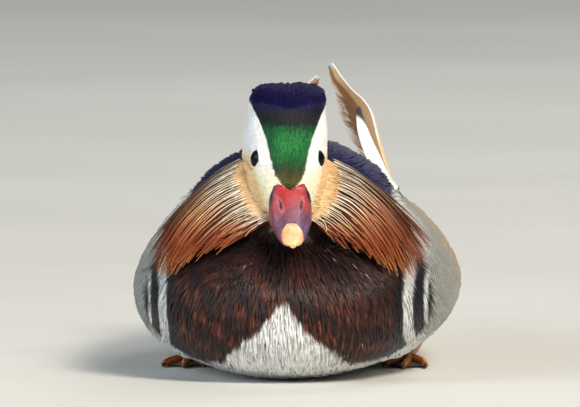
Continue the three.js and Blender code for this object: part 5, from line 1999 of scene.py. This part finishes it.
def outline(rows: int, pointed: bool) -> Array:
    """Give the share of a feather's half width from root to tip.

    Args:
        rows: Number of steps along the feather.
        pointed: Whether its tip is a point.

    Returns:
        The shares, 0 to 1.
    """
    shares = np.linspace(0, 1, rows)
    ends = [0.45, 0.9, 1, 0.96, 0.75, 0.42, 0.1] if pointed else [0.45, 0.9, 1, 1, 0.92, 0.7, 0.12]
    return np.interp(shares, [0, 0.12, 0.4, 0.7, 0.88, 0.96, 1], ends)


def secondary(chart: Array) -> Array:
    """Paint a dark feather with a blue-green panel and a white tip.

    Args:
        chart: Place across and along the feather.

    Returns:
        Its colours.
    """
    tone = layered(COLOUR.brown,
        (COLOUR.speculum, step(0.15, 0.4, chart[..., 1]) * step(-0.4, 0.2, chart[..., 0])),
        (COLOUR.black, step(0.82, 0.87, chart[..., 1])),
        (COLOUR.white, step(0.92, 0.95, chart[..., 1])))
    return glossed(tone, 0.4 * step(0.2, 0.4, chart[..., 1]))


def primary(chart: Array) -> Array:
    """Paint a dark feather with a silver outer edge and a blue-green tip.

    Args:
        chart: Place across and along the feather.

    Returns:
        Its colours.
    """
    tone = layered(COLOUR.brown,
        (COLOUR.silver, step(0.45, 0.7, chart[..., 0]) * step(0.95, 0.8, chart[..., 1])),
        (COLOUR.speculum, step(0.72, 0.9, chart[..., 1]) * step(0.5, 0.0, chart[..., 0])))
    return glossed(tone, 0.3 * step(0.6, 0.9, chart[..., 1]))


def tertial(chart: Array) -> Array:
    """Paint an olive feather with a glossy blue outer half and a thin white edge.

    Args:
        chart: Place across and along the feather.

    Returns:
        Its colours.
    """
    tone = layered(COLOUR.brown,
        (COLOUR.navy, step(0.0, 0.35, chart[..., 0]) * step(0.1, 0.4, chart[..., 1])),
        (COLOUR.white, step(0.86, 0.93, chart[..., 0]) * step(0.3, 0.5, chart[..., 1])))
    return glossed(tone, 0.35 * step(0.0, 0.4, chart[..., 0]))


@dataclass(frozen=True)
class Wing:
    """One folded wing: coverts over tertials, secondaries and pointed primaries."""

    side: int
    upper: Rows = ((27, -14), (26, 20), (22, 60), (16, 100), (9, 148))
    lower: Rows = ((42, -12), (43.2, 20), (43.2, 60), (42, 100), (24, 150))
    covert_rows: int = 13
    tertials: Rows = ((25, 48, 20.5, 92, 4.6, 3.4), (21.5, 66, 15.5, 116, 4.6, 3.6),
        (28, 56, 24, 108, 4.4, 2.9), (33, 62, 29, 116, 4.4, 2.6))
    secondaries: Rows = ((36, 66, 33, 124, 4.2, 2.4), (38, 76, 33, 132, 4.2, 2.8),
        (39.5, 90, 31, 140, 4, 3.2), (38.5, 98, 28, 150, 4, 3.6), (37, 104, 25.5, 158, 4.2, 4.1))
    primaries: Rows = ((33, 108, 17, 182, 4.4, 2.5), (31.5, 109, 15, 187, 4.3, 3.0),
        (30, 110, 13.5, 190, 4.4, 3.4), (28.5, 111, 12, 193, 4.2, 3.9), (27, 112, 10.6, 195, 4.2, 4.3),
        (25.5, 113, 9.4, 194, 4.1, 4.8), (24, 114, 8.2, 192, 4, 5.2), (21, 116, 6.6, 184, 3.8, 6.1))

    def feathers(self, weave: Weave, rows: Sequence[Numbers], pointed: bool,
            paint: Callable[[Array], Array]) -> None:
        """Add long feathers from their roots to their tips.

        Args:
            weave: Where they go.
            rows: Root, tip, half width and tip height of each.
            pointed: Whether they end in a point.
            paint: Colours from points whose last axis is across and along.
        """
        table = np.array(rows, float)
        count = 12
        share = np.linspace(0, 1, count)[None, :]
        across = (table[:, :1] + (table[:, 2:3] - table[:, :1]) * share) * self.side
        along = table[:, 1:2] + (table[:, 3:4] - table[:, 1:2]) * share
        spine, ups = over_back(across, along, 1.3 + (table[:, 5:6] - 1.3) * share)
        grid = quill(spine, ups, table[:, 4], outline(count, pointed), 0.1, 7)
        chart = np.stack(np.meshgrid(np.linspace(-1, 1, 7) * self.side, share[0]), -1)
        chart = np.broadcast_to(chart, grid.shape[:-1] + (2,))
        spot = np.stack([table[:, 0] / 60 + 0.1, table[:, 1] / 220 + 0.1], -1)
        weave.slabs(grid, ups[:, :, None], 0.35, paint(chart), spot)

    def coverts(self) -> Piece:
        """Build the rows of short feathers over the wing.

        Returns:
            The coverts of this wing.
        """
        dice = np.random.default_rng(90 + self.side)
        small = Weave()
        for row in range(self.covert_rows):
            part = row / (self.covert_rows - 1)
            place = 1 - part
            count = 9
            spread = np.linspace(0.04, 0.98, count) + (0.5 / count) * (row % 2) - 0.03
            spread = np.clip(spread + dice.normal(0, 0.012, count), 0, 1)
            top = smooth_path(self.upper, np.full(count, place * 0.52))
            low = smooth_path(self.lower, np.full(count, place * 0.52))
            root = top + (low - top) * spread[:, None]
            length = 13 + 7 * place + dice.uniform(-1, 1, count)
            share = np.linspace(0, 1, 6)[None, :]
            across = (root[:, :1] - 0.04 * length[:, None] * share) * self.side
            along = root[:, 1:2] + length[:, None] * share
            lift = 0.6 + (0.7 + 0.9 * place) * share + 0.25 * (1 - part)
            spine, ups = over_back(across, along, lift)
            half = np.full(count, 3.1 + 1.0 * place)
            grid = quill(spine, ups, half, outline(6, False), 0.16, 5)
            olive = blend(COLOUR.brown, COLOUR.brown_green, dice.uniform(0.1, 0.9, count))[:, None, None]
            tip = step(0.82, 1.0, share)[..., None, None]
            edge = np.linspace(-1, 1, 5)[None, None, :, None] ** 2
            tone = olive * (1 - 0.35 * edge) * (1 + 0.25 * tip) * dice.uniform(0.8, 1.15, (count, 1, 1, 1))
            small.sheets(grid, glossed(tone, 0.3), np.stack([spread, np.full(count, 0.1 + 0.6 * place)],
                -1))
        finish = Plumage("wing coverts", Barbs.VANE, 0.55, 0.1, 0.3, 22.0, shaft=0.05,
            shaft_tint=srgb(40, 34, 26))
        return small.build(f"wing_coverts_{SIDES[self.side]}", finish.make())

    def flight(self) -> Piece:
        """Build the long feathers, the lowest first.

        Returns:
            The long feathers of this wing.
        """
        long = Weave()
        self.feathers(long, self.primaries, True, primary)
        self.feathers(long, self.secondaries, False, secondary)
        self.feathers(long, self.tertials, False, tertial)
        finish = Plumage("flight feathers", Barbs.VANE, 0.5, 0.05, 0.22, 60.0, shaft=0.03,
            shaft_tint=srgb(30, 26, 22))
        return long.build(f"flight_feathers_{SIDES[self.side]}", finish.make())


@dataclass(frozen=True)
class Sail:
    """One upright fan-shaped tertial with a white leading edge and a frayed free edge."""

    side: int
    lead: Rows = ((42, 66, 72), (40.5, 72, 78), (36.6, 80, 87), (33.5, 86, 95.6), (31.5, 90, 103),
        (29.1, 95, 110), (25.7, 98, 114.8), (21.5, 100, 118.4), (17.3, 102, 123), (11.3, 105, 131.2))
    trail: Rows = ((34, 104, 70), (31, 109, 78), (26, 117, 86), (22, 122, 93), (18, 125, 100),
        (15.5, 126, 107), (14, 125, 112), (13, 122, 117), (11, 117, 122), (9.5, 108, 129.6))
    hollow: float = 5.5
    foot: float = 72.0
    barbs: int = 700

    @property
    def lean(self) -> float:
        """How far the feather leans to the duck's left, by height."""
        return 0.0 if self.side > 0 else 0.29

    @property
    def scale(self) -> float:
        """How high the feather stands, the left one being 1."""
        return 1.0 if self.side > 0 else 0.9

    def spot(self, up: Array, over: Array) -> Array:
        """Find points of the feather's middle sheet.

        Args:
            up: Share of the way from foot to tip.
            over: Share of the way from the leading to the free edge.

        Returns:
            The points.
        """
        first = smooth_path(self.lead, up)
        last = smooth_path(self.trail, up)
        point = first + (last - first) * over[..., None]
        arch = np.sin(math.pi * np.clip(over, 0, 1)) * np.sin(math.pi * np.minimum(up * 1.1, 1))
        rise = (point[..., 2] - self.foot) * self.scale
        x = (point[..., 0] + self.hollow * arch) * self.side + self.lean * rise
        return np.stack([x, point[..., 1], self.foot + rise], -1)

    def normal(self, up: Array, over: Array) -> Array:
        """Find the directions out of the sheet's outer face.

        Args:
            up: Share of the way from foot to tip.
            over: Share of the way to the free edge.

        Returns:
            The directions.
        """
        low = np.clip(up - 0.01, 0, 1)
        high = np.clip(up + 0.01, 0, 1)
        rise = self.spot(high, over) - self.spot(low, over)
        across = self.spot(up, over + 0.01) - self.spot(up, over - 0.01)
        return unit(np.cross(across, rise)) * self.side

    def paint(self, up: Array, over: Array) -> Array:
        """Colour the feather: white leading edge, orange-tan sheet, darker free edge.

        Args:
            up: Share of the way from foot to tip.
            over: Share of the way to the free edge.

        Returns:
            The colours.
        """
        streak = np.sin(over * 60 + 8 * up) * 0.5 + np.sin(over * 23 - 5 * up + 1.0) * 0.5
        tone = layered(COLOUR.sail,
            (COLOUR.sail_pale, step(0.75, 0.25, over + 0.06 * streak) * 0.7),
            (COLOUR.flank_buff, step(0.7, 1.0, over) * 0.3),
            (COLOUR.chestnut, step(0.9, 1.1, over + 0.03 * streak) * 0.3),
            (COLOUR.copper, step(0.12, 0.02, up) * 0.3))
        white = step(0.055, 0.03, over) * step(0.28, 0.42, up)
        tone = layered(tone, (COLOUR.white, white), (COLOUR.white, step(0.965, 0.99, up) * 0.8))
        return glossed(tone, 0.05)

    def build(self) -> Piece:
        """Build the sheet and the barbs of its free edge.

        Returns:
            The feather.
        """
        dice = np.random.default_rng(130 + self.side)
        rows = 90
        columns = 30
        up, over = np.meshgrid(np.linspace(0, 1, rows), np.linspace(0, 0.86, columns), indexing="ij")
        grid = self.spot(up, over)[None]
        face = self.normal(up, over)[None]
        thick = (0.7 - 0.4 * over) * (1 - 0.4 * up)
        weave = Weave()
        colours = self.paint(up, over)[None]
        if self.side > 0:
            grid = grid[:, :, ::-1]
            face = face[:, :, ::-1]
            thick = thick[:, ::-1]
            colours = colours[:, :, ::-1]
        weave.slabs(grid, face, thick[None], colours, np.array([[0.05, 0.05]]))
        number = self.barbs
        start = np.sort(dice.uniform(0.0, 0.97, number))
        climb = dice.uniform(0.08, 0.2, number)
        far = dice.uniform(0.0, 0.24, number) * (dice.random(number) < 0.35)
        reach = 0.93 + far + dice.uniform(-0.03, 0.03, number)
        share = np.linspace(0, 1, 6)[None, :]
        ups = np.clip(start[:, None] + climb[:, None] * share, 0, 1)
        overs = 0.68 + (reach[:, None] - 0.68) * share
        spine = self.spot(ups, overs)
        out = self.normal(ups, np.clip(overs, 0, 0.98))
        lift = dice.uniform(-0.25, 0.35, (number, 1)) * step(0, 0.5, share)
        spine = spine + out * lift[..., None]
        shape = np.interp(share[0], [0, 0.3, 0.7, 1], [1, 0.9, 0.6, 0.08])
        bars = quill(spine, out, dice.uniform(0.1, 0.22, number), shape, 0.1, 2)
        tint = self.paint(np.repeat(ups[..., None], 2, -1), np.repeat(overs[..., None], 2, -1))
        tint[..., :3] *= dice.uniform(0.85, 1.1, (number, 1, 1, 1))
        weave.slabs(bars, out[:, :, None], 0.16, tint, np.stack([start, start * 0 + 0.6], -1) * 0.9)
        name = SIDES[self.side]
        finish = Plumage("sail feathers", Barbs.VANE, 0.6, 0.0, 0.1, 150.0, relief=0.00001, glow=0.3)
        return weave.build(f"sail_feather_{name}", finish.make())


@dataclass(frozen=True)
class Blade:
    """One white sickle feather in front of a sail, with a black outer edge and tip."""

    side: int
    middle: Rows = ((42.6, 32, 67), (38.6, 45, 78.5), (33.2, 56, 89), (27.6, 70, 100.5), (24, 85, 111.6))
    halves: Numbers = (3.4, 4.8, 5, 3.7, 1.1)

    def build(self) -> Piece:
        """Build the feather.

        Returns:
            The feather.
        """
        rows = 48
        columns = 17
        shares = np.linspace(0, 1, rows)
        rise = 1.0 if self.side > 0 else 0.66
        line = smooth_path(self.middle, shares)
        wide = smooth_path(self.halves, shares)
        off = np.linspace(-1, 1, columns)[None, :]
        cup = 1 - off**2
        x = (line[:, :1] + off * wide * 0.78 + cup * 0.9) * self.side
        y = line[:, 1:2] + off * wide * 0.35
        z = 68 + (line[:, 2:] - 68) * rise - off * wide * 0.3 + cup * 0.6
        grid = BODY.clear(np.stack([x, y, z], -1), 1.6)
        least = np.minimum(2.4 + shares * 8, 5.2)
        for row in range(rows):
            if shares[row] > 0.2:
                grid[row] = BODY.clear(grid[row], float(least[row]))
        face = unit(np.cross(np.gradient(grid, axis=1), np.gradient(grid, axis=0))) * -self.side
        share = shares[:, None] + 0 * off
        edge = off + 0 * share
        # The bluish grey towards the root is painted shade on the white feather; the black edge and tip are
        # its own colour.
        tone = layered(COLOUR.white,
            (srgb(206, 214, 216), step(0.4, 0.0, share) * 0.5),
            (COLOUR.black, step(0.6, 0.8, edge) * step(0.36, 0.16, share)),
            (COLOUR.black, step(0.84, 0.88, share + 0.05 * edge)))
        colours = glossed(tone)
        thick = 0.6 - 0.25 * share
        if self.side < 0:
            grid, face, thick, colours = grid[:, ::-1], face[:, ::-1], thick[:, ::-1], colours[:, ::-1]
        weave = Weave()
        weave.slabs(grid[None], face[None], thick[None], colours[None], np.array([[0.1, 0.1]]))
        name = SIDES[self.side]
        finish = Plumage("sickle feathers", Barbs.VANE, 0.5, 0.2, 0.1, 70.0)
        return weave.build(f"sickle_feather_{name}", finish.make())


@dataclass(frozen=True)
class Tail:
    """The folded fan of tail feathers, each a little under the one before."""

    feathers: int = 14
    long: float = 78.0
    under: float = 0.62
    spread: float = 2.3
    half: float = 6.4

    def build(self) -> Piece:
        """Build the fan.

        Returns:
            The tail.
        """
        number = np.arange(self.feathers)
        side = np.where(number % 2 == 0, 1, -1)
        rank = number // 2 + 0.5
        turn = np.radians(rank * self.spread * side)
        length = self.long - rank * 1.9
        share = np.linspace(0, 1, 16)[None, :]
        reach = (length[:, None] + 8) * share - 8
        x = (rank * 0.8 * side)[:, None] + np.sin(turn)[:, None] * reach
        y = 186 + np.cos(turn)[:, None] * reach
        part = np.clip(reach / length[:, None], 0, 1)
        z = (65.6 - number * self.under)[:, None] + 2.2 * part + 1.6 * part**2
        spine = np.stack([x, y, z], -1)
        ups = unit(np.stack([0.04 * side * rank, -0.05 + 0 * rank, 1 + 0 * rank], -1))[:, None] + 0 * spine
        grid = quill(spine, ups, np.full(self.feathers, self.half), outline(16, False), 0.08, 9)
        v = np.broadcast_to(share[..., None], grid.shape[:-1])
        u = np.broadcast_to(np.linspace(-1, 1, 9), grid.shape[:-1])
        tone = layered(COLOUR.brown,
            (COLOUR.brown_green, step(0.2, 0.8, v)),
            (srgb(120, 108, 88), step(0.8, 1, np.abs(u)) * 0.35))
        colours = glossed(tone, 0.3)
        weave = Weave()
        spots = np.stack([0.05 + 0.9 * number / self.feathers, 0.5 + 0 * rank], -1)
        weave.slabs(grid, ups[:, :, None], 0.35, colours, spots)
        finish = Plumage("tail feathers", Barbs.VANE, 0.5, 0.05, 0.25, 70.0, shaft=0.03,
            shaft_tint=srgb(28, 24, 20))
        return weave.build("tail_feathers", finish.make())


# Legs
@dataclass(frozen=True)
class PlateRow:
    """Small plates set again and again along lines by Geometry Nodes."""

    name: str
    spacing: float
    plate: Triple
    uneven: float = 0.12
    seed: int = 7

    def tree(self) -> bpy.types.NodeTree:
        """Build the node tree.

        Returns:
            The tree, with its sizes as named inputs.
        """
        tree = bpy.data.node_groups.new(self.name, "GeometryNodeTree")
        inlets = (("Lines", "Geometry"), ("Spacing", "Float"), ("Uneven", "Float"), ("Plate", "Vector"),
            ("Seed", "Int"), ("Finish", "Material"))
        for title, kind in inlets:
            tree.interface.new_socket(title, in_out="INPUT", socket_type=f"NodeSocket{kind}")
        tree.interface.new_socket("Plates", in_out="OUTPUT", socket_type="NodeSocketGeometry")
        make = tree.nodes.new
        given = make("NodeGroupInput")
        result = make("NodeGroupOutput")
        curve = make("GeometryNodeMeshToCurve")
        evened = make("GeometryNodeResampleCurve")
        evened.mode = "LENGTH"
        ball = make("GeometryNodeMeshUVSphere")
        for title, size in (("Segments", 8), ("Rings", 5), ("Radius", 1.0)):
            ball.inputs[title].default_value = size
        tangent = make("GeometryNodeInputTangent")
        turned = make("FunctionNodeAlignRotationToVector")
        turned.axis = "Y"
        chance = make("FunctionNodeRandomValue")
        chance.data_type = "FLOAT"
        less = make("ShaderNodeMath")
        less.operation = "SUBTRACT"
        less.inputs[0].default_value = 1.0
        scale = make("ShaderNodeVectorMath")
        scale.operation = "SCALE"
        placed = make("GeometryNodeInstanceOnPoints")
        real = make("GeometryNodeRealizeInstances")
        dressed = make("GeometryNodeSetMaterial")
        links = ((given, "Lines", curve, "Mesh"), (curve, "Curve", evened, "Curve"),
            (given, "Spacing", evened, "Length"), (evened, "Curve", placed, "Points"),
            (ball, "Mesh", placed, "Instance"), (tangent, "Tangent", turned, "Vector"),
            (turned, "Rotation", placed, "Rotation"), (given, "Uneven", less, 1), (less, 0, chance, 2),
            (given, "Seed", chance, "Seed"), (given, "Plate", scale, 0), (chance, 1, scale, "Scale"),
            (scale, "Vector", placed, "Scale"), (placed, "Instances", real, "Geometry"),
            (real, "Geometry", dressed, "Geometry"), (given, "Finish", dressed, "Material"),
            (dressed, "Geometry", result, "Plates"))
        for source, outlet, target, inlet in links:
            tree.links.new(source.outputs[outlet], target.inputs[inlet])
        return tree

    def build(self, name: str, lines: Sequence[Array], finish: Material, tint: Array) -> Piece:
        """Set the plates along lines and make them a plain mesh.

        Args:
            name: Name of the piece.
            lines: Points of each line, in mm.
            finish: The plates' material.
            tint: Their colour and gloss.

        Returns:
            The plates.
        """
        points = np.concatenate(lines) * MM
        edges = []
        start = 0
        for line in lines:
            edges.extend((start + one, start + one + 1) for one in range(len(line) - 1))
            start += len(line)
        mesh = bpy.data.meshes.new(name)
        mesh.from_pydata(points.tolist(), edges, [])
        carrier = linked(name, mesh)
        tree = self.tree()
        modifier = carrier.modifiers.new("plates", "NODES")
        modifier.node_group = tree
        names = {item.name: item.identifier for item in tree.interface.items_tree if item.in_out == "INPUT"}
        plate = [size * MM for size in self.plate]
        given = {"Spacing": self.spacing * MM, "Uneven": self.uneven, "Plate": plate, "Seed": self.seed,
            "Finish": finish}
        for title, value in given.items():
            modifier[names[title]] = value
        made = finished(carrier)
        made.name = name
        colour = made.attributes.new("Tint", "FLOAT_COLOR", "POINT")
        colour.data.foreach_set("color", np.tile(tint, len(made.vertices)).astype(np.float32))
        made.polygons.foreach_set("use_smooth", np.ones(len(made.polygons), bool))
        return linked(name, made)


@dataclass(frozen=True)
class Leg:
    """One folded leg: shank, three webbed front toes, hind toe, claws and the scutes over them."""

    side: int
    shank: Rows = ((52, 84, 15), (51, 80, 8.5), (50, 76, 4.6), (49.6, 58, 3.6), (49, 43, 2.6),
        (49, 37, 2.6))
    shank_radii: Numbers = (5.2, 3.9, 3.1, 2.5, 2.6, 2.5)
    toes: tuple[Rows, ...] = (((48.1, 36.4, 2.3), (45, 22, 2.0), (42, 8, 1.8), (40.5, -4, 1.6)),
        ((49.1, 35.7, 2.4), (49.5, 20, 2.1), (49.5, 4, 1.9), (49, -11, 1.6)),
        ((50.2, 36.8, 2.35), (54, 22, 2.0), (57, 8, 1.8), (58.5, -5, 1.6)))
    toe_radii: Numbers = (2.1, 1.85, 1.65, 1.25)
    hind: Rows = ((49, 41, 2.2), (44, 46, 1.8), (40.6, 49, 1.5))
    hind_radii: Numbers = (1.7, 1.3, 0.9)

    def line(self, points: Sequence[Numbers], count: int) -> Array:
        """Follow a bone line on this side."""
        return smooth_path(points, np.linspace(0, 1, count)) * np.array([self.side, 1, 1])

    def limb(self, weave: Weave, points: Sequence[Numbers], radii: Sequence[float], joints: int) -> None:
        """Add one tapered limb with swollen joints.

        Args:
            weave: Where it goes.
            points: Its middle line.
            radii: Radius at each point.
            joints: Number of joints along it.
        """
        count = 28
        share = np.linspace(0, 1, count)
        path = self.line(points, count)
        wide = np.interp(share * (len(radii) - 1), range(len(radii)), radii)
        wide = wide * (1 + 0.07 * np.cos(share * 2 * math.pi * joints))
        tone = blend(COLOUR.leg, COLOUR.web, step(-0.2, 1.2, mottle(path, 5, 140)) * 0.35)
        colours = glossed(tone)
        weave.tubes(path[None], wide[None], colours[None], np.array([[path[0, 1] / 200 + 0.3, 0.5]]), 16)

    def webs(self, weave: Weave) -> None:
        """Stretch the webs between the front toes.

        Args:
            weave: The mesh to add them to.
        """
        for first, second in ((0, 1), (1, 2)):
            rows = 30
            columns = 12
            share = np.linspace(0.12, 0.97, rows)
            over = np.linspace(0, 1, columns)[None, :, None]
            left = smooth_path(self.toes[first], share)[:, None]
            right = smooth_path(self.toes[second], share)[:, None]
            grid = left + (right - left) * over
            grid[..., 1] += 5.5 * share[:, None] * np.sin(math.pi * over[..., 0])
            crease = 0.16 * np.sin(over[..., 0] * 22 + 3 * share[:, None])
            grid[..., 2] = 0.85 + crease * np.sin(math.pi * over[..., 0])
            grid = grid * np.array([self.side, 1, 1])
            if self.side < 0:
                grid = grid[:, ::-1]
            tone = blend(COLOUR.web, srgb(96, 70, 44), step(-0.3, 1, mottle(grid, 4, 141)) * 0.5)
            colours = glossed(tone)
            flip = grid[::-1][None]
            weave.slabs(flip, np.array([0, 0, 1.0]), 0.7, colours[::-1][None], np.array([[0.6, 0.1]]))

    def build(self) -> list[Piece]:
        """Build foot, claws and scutes.

        Returns:
            The foot, the claws and the scutes.
        """
        name = SIDES[self.side]
        foot = Weave()
        self.limb(foot, self.shank, self.shank_radii, 1)
        for toe in self.toes:
            self.limb(foot, toe, self.toe_radii, 3)
        self.limb(foot, self.hind, self.hind_radii, 1)
        self.webs(foot)
        claws = Weave()
        lines = []
        for toe in self.toes:
            end = np.array(toe[-1])
            ahead = unit(end - np.array(toe[-2]))
            spots = np.array([end - ahead * 1.5, end + ahead * 2.6, end + ahead * 5.2])
            spots[1, 2] = 1.55
            spots[2, 2] = 0.7
            path = self.line(spots.tolist(), 9)
            colours = np.tile(glossed(COLOUR.horn), (9, 1))
            radii = np.interp(np.linspace(0, 1, 9), [0, 0.5, 1], [1.15, 0.85, 0.12])
            claws.tubes(path[None], radii[None], colours[None], np.array([[0.3, 0.3]]), 10)
            top = self.line(toe, 24)
            lines.append(top[1:-1] + np.array([0, 0, 1.62]))
        top = self.line(self.shank[2:], 24)
        lines.append(top[2:-1] + np.array([0, 0, 2.2]))
        scutes = PlateRow("scutes", 1.5, (1.25, 0.72, 0.42))
        finish = Horn("scute skin", 0.45, 0.15, 1800.0).make()
        return [foot.build(f"foot_{name}", Horn("foot skin", 0.5, 0.1, 1600.0).make()),
            claws.build(f"claws_{name}", Horn("claw horn", 0.35, 0.4, 900.0).make()),
            scutes.build(f"scutes_{name}", lines, finish, glossed(COLOUR.leg))]


# Studio
@dataclass(frozen=True)
class Studio:
    """Floor, light and the camera at the photograph's angle."""

    target: Triple = (2.9, -100.0, 79.5)
    azimuth: float = 3.0
    elevation: float = 3.5
    distance: float = 6.0
    focal: float = 846.4
    floor_side: float = 16.0

    def floor(self) -> Piece:
        """Build the plain pale floor.

        Returns:
            The floor.
        """
        half = self.floor_side / 2
        mesh = bpy.data.meshes.new("floor")
        corners = [(-half, -half, 0), (half, -half, 0), (half, half, 0), (-half, half, 0)]
        mesh.from_pydata(corners, [], [(0, 1, 2, 3)])
        graph = Graph("pale floor", Roughness=0.75)
        tone = graph.mix(graph.rise(graph.noise(3.0), 0.3, 0.7), srgb(212, 212, 206), srgb(218, 218, 213))
        graph.main("Base Color", tone)
        graph.bump(graph.noise(220.0), 0.00005)
        mesh.materials.append(graph.material)
        return linked("floor", mesh)

    def lamp(self, name: str, place: Triple, size: float, power: float, tint: Array) -> None:
        """Hang one square soft light that looks at the duck.

        Args:
            name: Name of the light.
            place: Where it hangs, in metres.
            size: Side of its square, in metres.
            power: Power in watts.
            tint: Its colour.
        """
        data = bpy.data.lights.new(name, "AREA")
        data.size = size
        data.energy = power
        data.color = tuple(tint)
        light = linked(name, data)
        light.location = place
        self.point(light, np.array([0, 0, 0.06]) - np.array(place))

    def point(self, thing: Piece, way: Array) -> None:
        """Turn a lamp or camera so that it looks along a direction."""
        flat = math.hypot(way[0], way[1])
        thing.rotation_euler = (math.atan2(flat, -way[2]), 0, math.atan2(-way[0], way[1]))

    def build(self) -> None:
        """Build floor, lights and camera."""
        self.floor()
        self.lamp("key light", (1.7, -2.6, 2.5), 1.0, 152.0, (1.0, 0.9, 0.76))
        self.lamp("cool fill", (-3.0, -1.6, 1.6), 2.2, 62.0, (0.8, 0.9, 1.0))
        self.lamp("back light", (1.2, 2.4, 2.2), 1.4, 26.0, (1.0, 0.97, 0.92))
        sun = bpy.data.lights.new("even top light", "SUN")
        sun.energy = 0.5
        sun.angle = math.radians(30)
        sun.color = (1.0, 0.97, 0.92)
        self.point(linked("even top light", sun), np.array([-0.35, 0.6, -0.9]))
        world = bpy.data.worlds.new("studio")
        world.use_nodes = True
        backdrop = world.node_tree.nodes["Background"]
        backdrop.inputs["Color"].default_value = (0.86, 0.92, 1.0, 1.0)
        backdrop.inputs["Strength"].default_value = 0.26
        bpy.context.scene.world = world
        data = bpy.data.cameras.new("camera")
        data.sensor_width = 36.0
        data.lens = self.focal
        data.clip_start = 0.1
        data.clip_end = 60.0
        camera = linked("camera", data)
        turn = math.radians(self.azimuth)
        rise = math.radians(self.elevation)
        away = np.array([math.sin(turn) * math.cos(rise), -math.cos(turn) * math.cos(rise), math.sin(rise)])
        camera.location = np.array(self.target) * MM + away * self.distance
        self.point(camera, -away)
        bpy.context.scene.camera = camera
        bpy.context.scene.view_settings.view_transform = "Standard"


FLESH = ("breast", "belly", "mantle", "rump", "vent", "flank_left", "flank_right", "neck", "head")


def main() -> None:
    """Build the duck piece by piece, then the studio, and log the triangles of each piece."""
    logging.basicConfig(level=logging.INFO, format="%(name)s %(message)s")
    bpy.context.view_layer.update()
    skin = Skin()
    settle(skin.build(), "breast", *FLESH)
    for coat in COATS:
        settle(coat.build(skin), coat.slot)
    settle(Crest().build(), "crest", "crest")
    bill = Bill()
    settle(bill.upper(), "bill_upper", "bill_upper")
    settle(bill.nail(), "bill_upper")
    settle(bill.lower(), "bill_lower", "bill_lower")
    settle(Tail().build(), "tail", "tail")
    for eye in EYES:
        side = eye.side
        name = SIDES[side]
        settle(eye.ball(), f"eye_{name}", f"eye_{name}")
        settle(eye.lids(), "head")
        settle(Ruff(side).build(), f"ruff_{name}", f"ruff_{name}")
        wing = Wing(side)
        settle(wing.coverts(), f"wing_{name}")
        settle(wing.flight(), f"wing_{name}", f"wing_{name}")
        settle(Sail(side).build(), f"sail_{name}", f"sail_{name}")
        settle(Blade(side).build(), f"blade_{name}", f"blade_{name}")
        foot, claws, scutes = Leg(side).build()
        settle(foot, f"leg_{name}", f"leg_{name}")
        settle(claws, f"leg_{name}")
        settle(scutes, f"leg_{name}")
    Studio().build()


if __name__ == "__main__":
    main()
